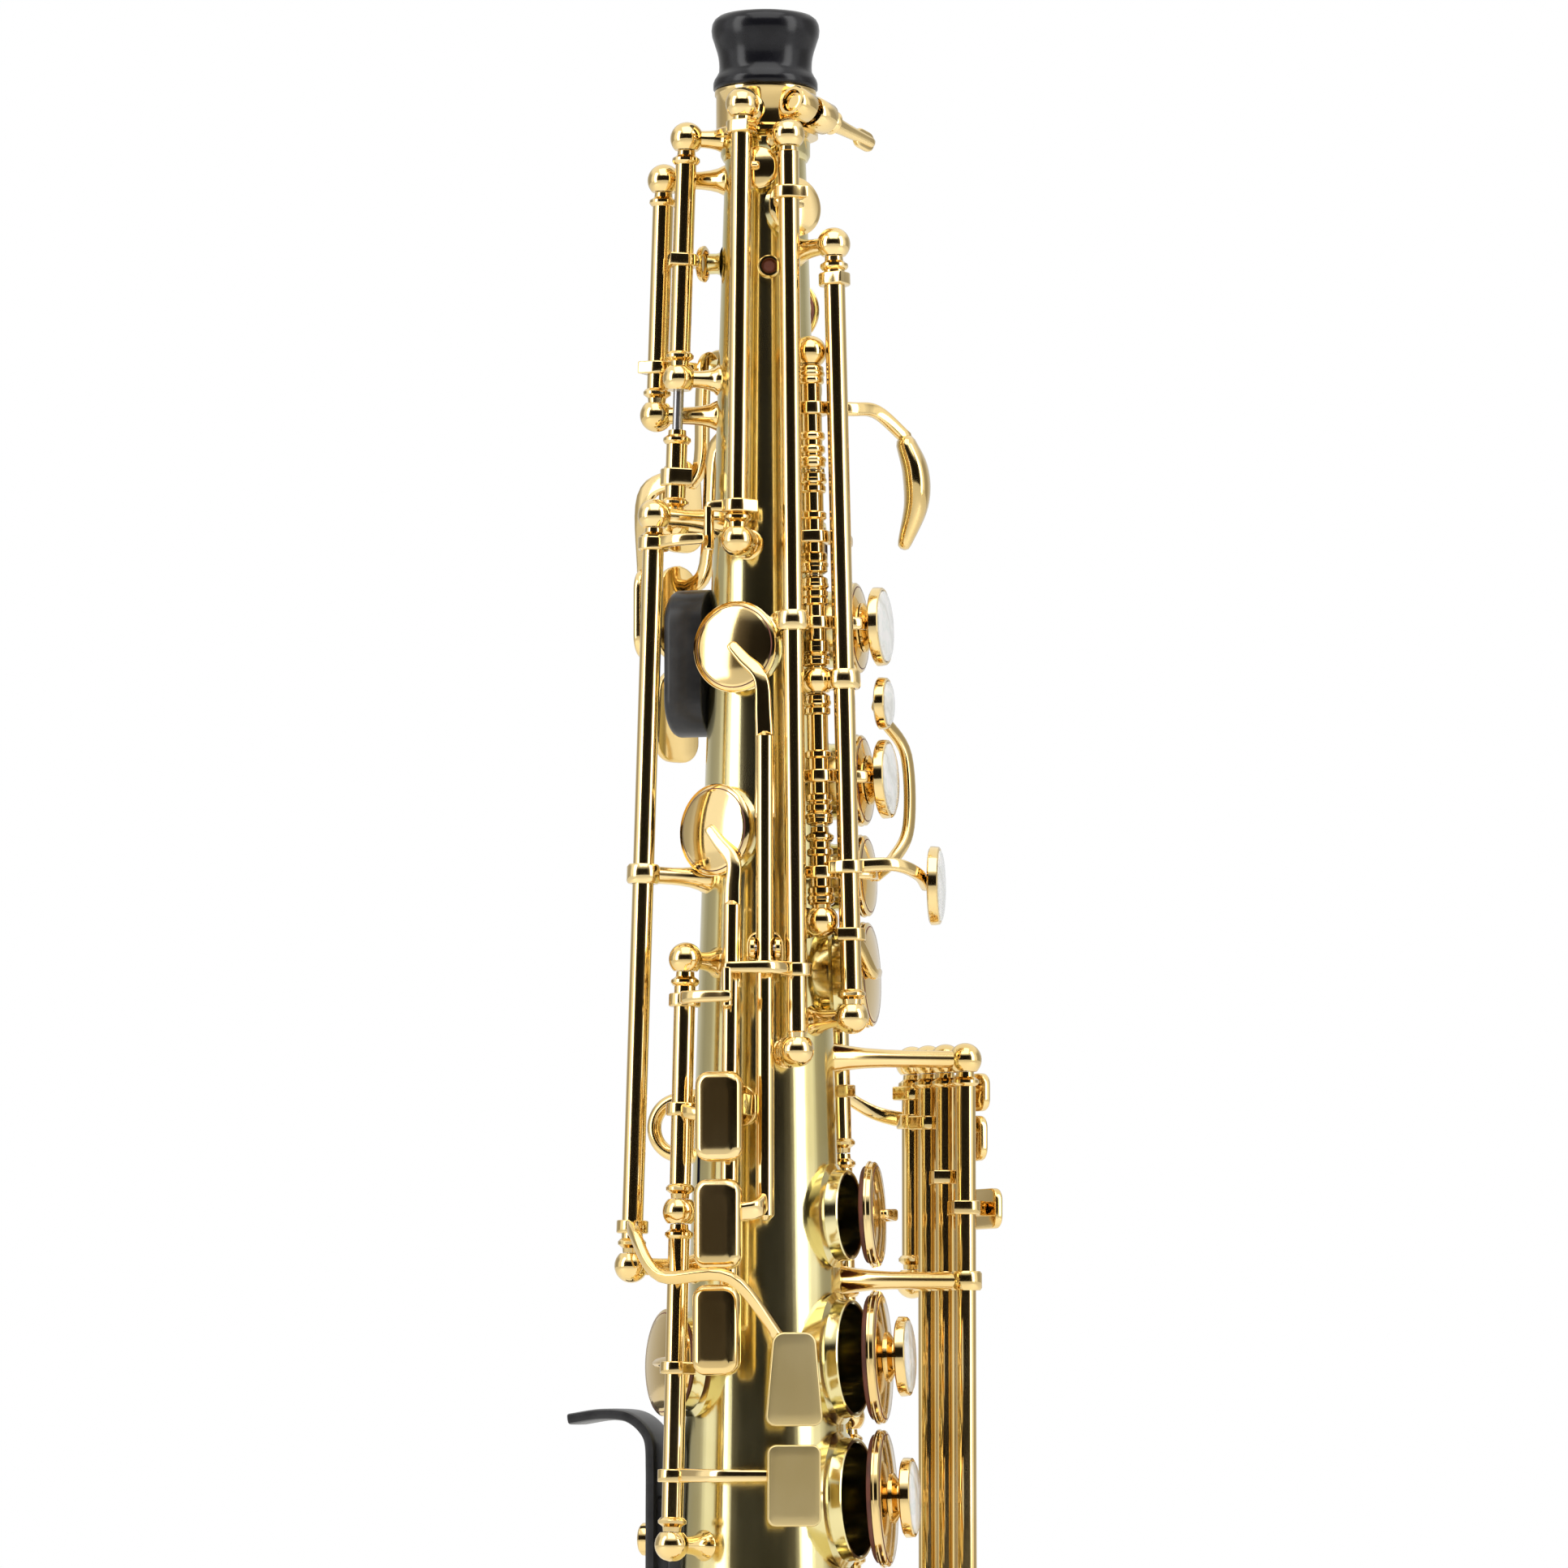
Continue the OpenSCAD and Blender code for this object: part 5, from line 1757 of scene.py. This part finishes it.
@dataclass
class SideKeys:
    """The two side keys that rock in forks."""

    def build(self) -> None:
        """Makes side C and side B flat."""
        self.rocker("side_c_key", SIDE_C_LINE, 384, 330, 427, SIDE_C, 327)
        self.rocker("side_bflat_key", SIDE_BFLAT_LINE, 352, 308, 392, SIDE_BFLAT, 305.5)

    @staticmethod
    def rocker(
        name: str, line: Line, pivot: float, low: float, high: float, hole: Hole, touch_z: float
    ) -> None:
        """A bar with a cup over it and a touch under it.

        Args:
            name: the key.
            line: the bar's line.
            pivot: height of the pin.
            low: the bar's lower end.
            high: the bar's upper end.
            hole: the hole that it closes.
            touch_z: height of the touch.
        """
        key = KeyWork()
        bar = line.frame()
        key.disc(SIDE_BAR, low - SIDE_BAR, high + SIDE_BAR, bar, 1.2, 28)
        ring = [(SIDE_BAR, -3.4), (2.35, -3.0), (2.35, -2.6), (SIDE_BAR, -2.5)]
        key.turned([(r, pivot + z) for r, z in ring], bar, 28)
        key.cup(hole)
        crown = hole.crown(0.3)
        edge = hole.edge(line, 0.7)
        edge.z = hole.z - hole.cup_radius * 0.75
        key.bent(
            [
                line.at(high - 16), line.at(high - 5), line.at(high + 1).lerp(edge, 0.35), edge,
                edge.lerp(crown, 0.6), crown,
            ],
            4.4, 2.2, 0.5, up=polar(line.angle + 90, 1, 0),
        )
        bend = polar((line.angle * 3 + SIDE_TOUCH_ANGLE) / 4, tube_radius(low) + 10.4, low)
        end = polar(SIDE_TOUCH_ANGLE, tube_radius(touch_z) + 11.9, touch_z + 2)
        key.bent([line.at(low + 2), bend, end], 4.0, 2.2)
        side_touch(key, touch_z)
        key.done(name)
        pad(hole, name.removesuffix("_key"), name)


@dataclass
class PalmKeys:
    """Palm keys and the front F lever."""

    def build(self) -> None:
        """Makes the three palm keys and the front F lever."""
        self.key("palm_d_key", above(448), 490 - MEET, PALM_D, 484, 436, 149, 16, 11)
        self.key("palm_eflat_key", 490 + MEET, 508 - MEET, PALM_EFLAT, 502, 458, 148, 17, 11)
        self.key("palm_f_key", 508 + MEET, below(526), PALM_F, 519, 481, 146, 18, 15.5)
        self.front_f()

    @staticmethod
    def key(
        name: str, low: float, high: float, hole: Hole, arm_z: float, touch_z: float,
        angle: float, height: float, run: float,
    ) -> None:
        """One palm key with its long curved touch.

        Args:
            name: the key.
            low: lower end of its hinge tube.
            high: upper end of its hinge tube.
            hole: the hole that it closes.
            arm_z: height of the cup's arm.
            touch_z: height of the touch.
            angle: degrees round the tube of the touch.
            height: the touch's height above the tube.
            run: the long arm's height above the tube.
        """
        line, start, out = PALM_LINE, low + 4.1, tube_radius(touch_z)
        key = KeyWork()
        key.hinge(line, low, high).cup(hole)
        key.cup_arm(line, arm_z, hole)
        key.arm(
            line, start,
            [
                polar(line.angle + 7, out + run, start - 2),
                polar(angle - 7, out + run + 0.5, touch_z + 10),
                polar(angle - 5, out + height + 0.8, touch_z + 5),
            ], 3.4, 1.0,
        )
        key.plate(20, 12, 1.8, facing(angle, out + height, touch_z), 5.4, 1.0, 1.6, 0.8)
        key.done(name)
        pad(hole, name.removesuffix("_key"), name)

    @staticmethod
    def front_f() -> None:
        """The front F lever with its teardrop touch."""
        line = UPPER_STACK
        key = KeyWork()
        key.hinge(line, 484 + MEET, below(509))
        key.rings(line, (485.4, 488.4, 491.2, 503.0, 505.2))
        key.arm(
            line, 497, [polar(-12, 20.5, 497), polar(4, 24, 497), polar(13, 29.6, 492)], 3.0, 0.9
        )
        key.bent(
            [
                polar(13, 29.5, 491), polar(14, 31.5, 485), polar(15, 31.6, 478),
                polar(15, 29.2, 470),
            ],
            7.4, 4.2, 0.7, up=polar(105, 1, 0), corner=0.95, swell=0.5,
        )
        key.done("front_f_key", 60)


@dataclass
class UpperStack:
    """Upper stack keys, the G key and its touch."""

    opening: float = 10.0
    g_opening: float = 8.0

    def build(self) -> None:
        """Makes the upper stack."""
        swing = UPPER_STACK.swing(-self.opening)
        self.stack_key("c_vent", C_VENT, 462 + MEET, 484 - MEET, 470, swing, False)
        self.stack_key("b", HOLE_B, above(440), 462 - MEET, 452, swing, True)
        self.stack_key("a", HOLE_A, 409.5 + MEET, below(440), 420, swing, True)
        self.bis(swing)
        self.g_key()

    @staticmethod
    def stack_key(
        name: str, hole: Hole, low: float, high: float, z: float, swing: Matrix, touch: bool
    ) -> None:
        """One key of the upper stack, with its pad's node and its pearl where it has a touch.

        Args:
            name: its name, without the last word.
            hole: the hole that it closes.
            low: lower end of its hinge tube.
            high: upper end of its hinge tube.
            z: height of the cup's arm.
            swing: how far it stands open.
            touch: whether it has a pearl.
        """
        body = name + "_key"
        key = KeyWork(swing)
        key.hinge(UPPER_STACK, low, high).cup(hole)
        key.rings(UPPER_STACK, (low + 1.2, low + 3.8, z - 4.5, z + 4.5, high - 3.8, high - 1.2))
        key.cup_arm(UPPER_STACK, z, hole)
        if touch:
            stepped_seat(key, hole)
        key.done(body)
        pad(hole, name, body, touch, swing)
        if touch:
            pearl(FINGER_PEARL, cup_seat(hole), name, swing)

    @staticmethod
    def bis(swing: Matrix) -> None:
        """The bis key, whose small pearl stands off on an arm of its own.

        Args:
            swing: how far it stands open.
        """
        hole, z = BIS, 436.0
        seat = facing(15, tube_radius(z) + hole.top + 2.2, z)
        out = tube_radius(HOLE_A.z) + HOLE_A.top + 7.9
        key = KeyWork(swing)
        key.hinge(UPPER_STACK, above(390), 409.5 - MEET).cup(hole)
        key.rings(UPPER_STACK, (394.2, 396.2, 404.2, 407.2))
        key.cup_arm(UPPER_STACK, 400, hole)
        key.bent(
            [hole.crown(0.4), polar(30, out - 3.5, 404), polar(37, out, 411), polar(41, out, 426),
             polar(33, out - 5.2, 433), polar(20, out - 6.9, z)],
            2.8, 1.9,
        )
        key.holder(BIS_PEARL, seat)
        key.done("bis_key")
        pad(hole, "bis", "bis_key", True, swing)
        pearl(BIS_PEARL, seat, "bis", swing)

    def g_key(self) -> None:
        """The G key: a long hinge tube, a cup at its foot and a touch beside it."""
        swing = G_LINE.swing(-self.g_opening)
        seat = facing(20, 32, 398)
        key = KeyWork(swing)
        key.hinge(G_LINE, above(370), below(531.5)).cup(HOLE_G)
        key.cup_arm(G_LINE, 387, HOLE_G)
        key.arm(
            G_LINE, 401, [polar(-8, 29.0, 401.5), polar(6, 31.0, 400), polar(20, 31.2, 398)], 3.0
        )
        key.collar(G_LINE, 524, polar(0, 10, 524))
        key.holder(FINGER_PEARL, seat)
        key.done("g_key")
        pad(HOLE_G, "g", "g_key", True, swing)
        pearl(FINGER_PEARL, seat, "g", swing)


def stepped_seat(key: KeyWork, hole: Hole) -> None:
    """The turned column and the pearl's holder over a cup.

    Args:
        key: the mesh that they are added to.
        hole: the tone hole under the cup.
    """
    column = [(0, -0.2), (5.2, -0.2), (5.2, 0.3), (4.4, 0.8), (3.6, 1.2), (3.4, 2.2), (0, 2.2)]
    key.turned(column, hole.frame(hole.top), 40)
    key.holder(FINGER_PEARL, cup_seat(hole))


@dataclass
class LowerStack:
    """Lower stack keys, and the G sharp cup on the same rod."""

    opening: float = 9.0

    def build(self) -> None:
        """Makes the lower stack."""
        swing = LOWER_STACK.swing(self.opening)
        self.key("fsharp_aux", FSHARP_AUX, 316 + MEET, 343 - MEET, 329.5, swing, False)
        self.key("f", HOLE_F, above(288), 316 - MEET, 300, swing, True)
        self.key("e", HOLE_E, 256 + MEET, below(288), 271, swing, True)
        self.key("d", HOLE_D, above(222), 256 - MEET, 239, swing, True)
        cup = KeyWork()
        cup.hinge(LOWER_STACK, 343 + MEET, below(374)).cup(GSHARP)
        cup.cup_arm(LOWER_STACK, 356, GSHARP)
        cup.done("gsharp_cup")
        pad(GSHARP, "gsharp", "gsharp_cup")

    @staticmethod
    def key(
        name: str, hole: Hole, low: float, high: float, z: float, swing: Matrix, touch: bool
    ) -> None:
        """One key of the lower stack.

        Args:
            name: its name, without the last word.
            hole: the hole that it closes.
            low: lower end of its hinge tube.
            high: upper end of its hinge tube.
            z: height of the cup's arm.
            swing: how far it stands open.
            touch: whether it has a pearl.
        """
        body = name + "_key"
        key = KeyWork(swing)
        key.hinge(LOWER_STACK, low, high).cup(hole)
        key.cup_arm(LOWER_STACK, z, hole)
        if touch:
            stepped_seat(key, hole)
        key.done(body)
        pad(hole, name, body, True, swing)
        if touch:
            pearl(FINGER_PEARL, cup_seat(hole), name, swing)


@dataclass
class LowKeys:
    """The low keys and the left-hand table."""

    c_open: float = 8.0
    bell_open: float = 7.0

    def build(self) -> None:
        """Makes the low keys."""
        self.front_keys()
        self.table_keys()

    def front_keys(self) -> None:
        """Low E flat and low C with the right little finger's touches."""
        line = LOW_FRONT
        key = KeyWork()
        key.hinge(line, above(160), below(217)).cup(LOW_EFLAT)
        key.cup_arm(line, 203, LOW_EFLAT)
        key.arm(line, 190, [polar(-30, 34, 192), polar(-22, 36.6, 198)], 3.4)
        key.plate(15, 17, 1.8, facing(-20, 36, 200), 4.0, 0.9, 1.2)
        key.done("low_eflat_key")
        pad(LOW_EFLAT, "low_eflat", "low_eflat_key")
        swing = line.swing(-self.c_open)
        key = KeyWork(swing)
        key.hinge(line, above(107), below(160)).cup(LOW_C)
        key.cup_arm(line, 131, LOW_C)
        key.arm(
            line, 149, [polar(-36, 33.5, 152), polar(-26, 35.6, 168), polar(-22, 36.6, 178)], 3.4
        )
        key.plate(15, 17, 1.8, facing(-20, 36, 180), 4.0, 0.9, 1.2)
        key.done("low_c_key")
        pad(LOW_C, "low_c", "low_c_key", True, swing)

    def table_keys(self) -> None:
        """The four long keys of the left-hand table."""
        key = KeyWork()
        key.hinge(GSHARP_LINE, above(TABLE_MIDDLE), below(TABLE_HEAD))
        TableTouch(356, 50, 356, 8, 20).add(key, GSHARP_LINE)
        key.arm(GSHARP_LINE, 350, [polar(68, 36, 352), polar(76, 30, 356)], 3.4)
        key.done("gsharp_touch")
        touch = TableTouch(349.6, 43, 346.3, 9.5, 8.5)
        self.long_key("low_csharp", LOW_CSHARP_LINE, 150, LOW_CSHARP, 168, 0.0, touch)
        touch = TableTouch(338, 54, 345, 9.5, 8.5)
        self.long_key("low_b", LOW_B_LINE, 76, LOW_B, 91, -self.bell_open, touch)
        touch = TableTouch(331.5, 48, 331.5, 8.5, 20, 49.5)
        self.long_key("low_bflat", LOW_BFLAT_LINE, 44, LOW_BFLAT, 53, -self.bell_open, touch)

    @staticmethod
    def long_key(
        name: str, line: Line, post: float, hole: Hole, z: float, degrees: float,
        touch: "TableTouch",
    ) -> None:
        """A key whose hinge tube runs the length of the body.

        Args:
            name: its name, without the last word.
            line: its hinge line.
            post: height of its lowest post.
            hole: the hole that it closes.
            z: height of its cup's arm.
            degrees: how far it stands open at rest.
            touch: its touch on the table.
        """
        swing = line.swing(degrees)
        body = name + "_key"
        key = KeyWork(swing)
        key.hinge(line, above(post), below(TABLE_HEAD)).cup(hole)
        key.cup_arm(line, z, hole)
        touch.add(key, line)
        key.done(body)
        pad(hole, name, body, degrees != 0, swing)


@dataclass(frozen=True)
class TableTouch:
    """A touch of the left-hand table on its rising strap.

    Attributes:
        root: height where the strap leaves the hinge tube.
        angle: degrees round the tube.
        z: height of the touch's middle.
        length: size along the tube.
        width: size round it.
        radius: distance of its back from the bore's axis.
    """

    root: float
    angle: float
    z: float
    length: float
    width: float
    radius: float = 48.0

    def add(self, key: KeyWork, line: Line) -> None:
        """Puts the strap and the touch on a key.

        Args:
            key: the mesh that they are added to.
            line: the key's hinge line.
        """
        bend = polar(line.angle + (self.angle - line.angle) * 0.4, self.radius - 1.4, self.root)
        key.arm(line, self.root, [bend, polar(self.angle, self.radius + 0.4, self.z)], 3.2, 1.0)
        place = facing(self.angle, self.radius, self.z)
        corner = min(self.length, self.width) * 0.3
        key.plate(self.length, self.width, 1.8, place, corner, 0.6, 0.8)


@dataclass
class Studio:
    """Camera, lights, surroundings and floor.

    Attributes:
        azimuth: the camera's angle round the instrument.
        distance: from the bore's axis to the camera.
        eye: height of the camera.
        aim: height of the view's middle.
        side: how far the view's middle lies to the right of the axis.
        width: width of the view at the axis.
    """

    azimuth: float = -72.0
    distance: float = 1443.0
    eye: float = 290.0
    aim: float = 419.5
    side: float = 3.9
    width: float = 327.5

    def build(self) -> None:
        """Sets the studio up."""
        self.camera()
        self.surroundings()
        self.lights()
        self.floor()
        settings = bpy.context.scene.view_settings
        settings.view_transform = "Standard"
        settings.look = "None"

    def camera(self) -> None:
        """The camera, level with the middle of the instrument and tilted up."""
        right = polar(self.azimuth + 90, self.side, 0)
        place = polar(self.azimuth, self.distance, self.eye) + right
        target = right + Vector((0, 0, self.aim))
        data = bpy.data.cameras.new("camera")
        data.lens = 36.0 * (target - place).length / self.width
        data.clip_start, data.clip_end = 0.05, 50.0
        camera = bpy.data.objects.new("camera", data)
        camera.location = place * MM
        camera.rotation_euler = (target - place).to_track_quat("-Z", "Y").to_euler()
        bpy.context.scene.collection.objects.link(camera)
        bpy.context.scene.camera = camera

    def surroundings(self) -> None:
        """A white tent with a dark opening on the camera's side, which only reflections see."""
        world = bpy.data.worlds.new("tent")
        bpy.context.scene.world = world
        s = Shader(world)
        way = s.node("ShaderNodeTexCoord").outputs["Generated"]
        flat = s.node(
            "ShaderNodeVectorMath", {"operation": "MULTIPLY"}, i0=way, i1=(1, 1, 0)
        ).outputs[0]
        flat = s.node("ShaderNodeVectorMath", {"operation": "NORMALIZE"}, i0=flat).outputs[0]
        toward = s.node(
            "ShaderNodeVectorMath", {"operation": "DOT_PRODUCT"}, i0=flat, i1=tuple(
                polar(self.azimuth - 4, 1, 0)
            )
        ).outputs["Value"]
        around = s.ramp(
            Wire(s, toward) * 0.5 + 0.5,
            [
                (0.0, (0.80, 0.80, 0.80, 1)), (0.22, (0.42, 0.41, 0.38, 1)),
                (0.42, (0.50, 0.48, 0.44, 1)),
                (0.52, (1.25, 1.25, 1.22, 1)), (0.78, (1.1, 1.08, 1.02, 1)),
                (0.85, (0.12, 0.10, 0.08, 1)),
                (0.92, (0.02, 0.017, 0.014, 1)), (1.0, (0.012, 0.010, 0.008, 1)),
            ],
        )
        rise = s.node("ShaderNodeSeparateXYZ", None, Vector=way).outputs["Z"]
        ceiling = s.node(
            "ShaderNodeMapRange", None, Value=rise, From_Min=0.42, From_Max=0.62
        ).outputs[0]
        tent = s.node(
            "ShaderNodeMix", {
                "data_type": "RGBA"
            }, Factor=ceiling, i6=around, i7=(1.15, 1.14, 1.1, 1)
        ).outputs[2]
        light = s.node("ShaderNodeBackground", None, Color=tent, Strength=0.9)
        back = s.node("ShaderNodeBackground", None, Color=(1, 1, 1, 1), Strength=1.0)
        camera = s.node("ShaderNodeLightPath").outputs["Is Camera Ray"]
        mixed = s.node(
            "ShaderNodeMixShader", None, i0=camera, i1=light.outputs[0], i2=back.outputs[0]
        )
        s.node("ShaderNodeOutputWorld", None, Surface=mixed.outputs[0])

    def lights(self) -> None:
        """Two tall soft lights beside the camera and one overhead."""
        for name, angle, distance, height, size, power in (
            ("left_softbox", self.azimuth - 62, 1100, 800, (0.4, 1.2), 4.5),
            ("right_softbox", self.azimuth + 58, 1100, 800, (0.4, 1.2), 4.5),
            ("top_softbox", self.azimuth, 500, 1300, (0.9, 0.9), 4.0),
        ):
            data = bpy.data.lights.new(name, "AREA")
            data.shape = "RECTANGLE"
            data.size, data.size_y = size
            data.energy = power
            light = bpy.data.objects.new(name, data)
            place = polar(angle, distance, height)
            light.location = place * MM
            light.rotation_euler = (Vector((0, 0, 380)) - place).to_track_quat("-Z", "Y").to_euler()
            light.visible_camera = False
            bpy.context.scene.collection.objects.link(light)

    @staticmethod
    def floor() -> None:
        """A pale round floor under the bell."""
        part = bmesh.new()
        bmesh.ops.create_circle(part, cap_ends=True, radius=6.0, segments=128)
        mesh = bpy.data.meshes.new("floor")
        part.to_mesh(mesh)
        part.free()
        s = Shader.named("floor_paper")
        grain = s.noise(30.0, 5.0)
        mesh.materials.append(
            s.surface(
                Base_Color=s.ramp(
                    grain, [(0.3, (0.885, 0.885, 0.88, 1)), (0.7, (0.90, 0.90, 0.895, 1))]
                ),
                Roughness=0.6 + grain * 0.1,
            )
        )
        floor = bpy.data.objects.new("floor", mesh)
        bpy.context.scene.collection.objects.link(floor)


def main() -> None:
    """Builds each sub-assembly around the frame."""
    logging.basicConfig(level=logging.INFO, format="%(name)s: %(message)s")
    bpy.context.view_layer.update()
    for group in (
        Studio(), Tube(), Posts(), Fittings(), Octave(), HighKeys(), SideKeys(), PalmKeys(),
        UpperStack(), LowerStack(), LowKeys(),
    ):
        group.build()
        log.info("built %s", type(group).__name__)


if __name__ == "__main__":
    main()
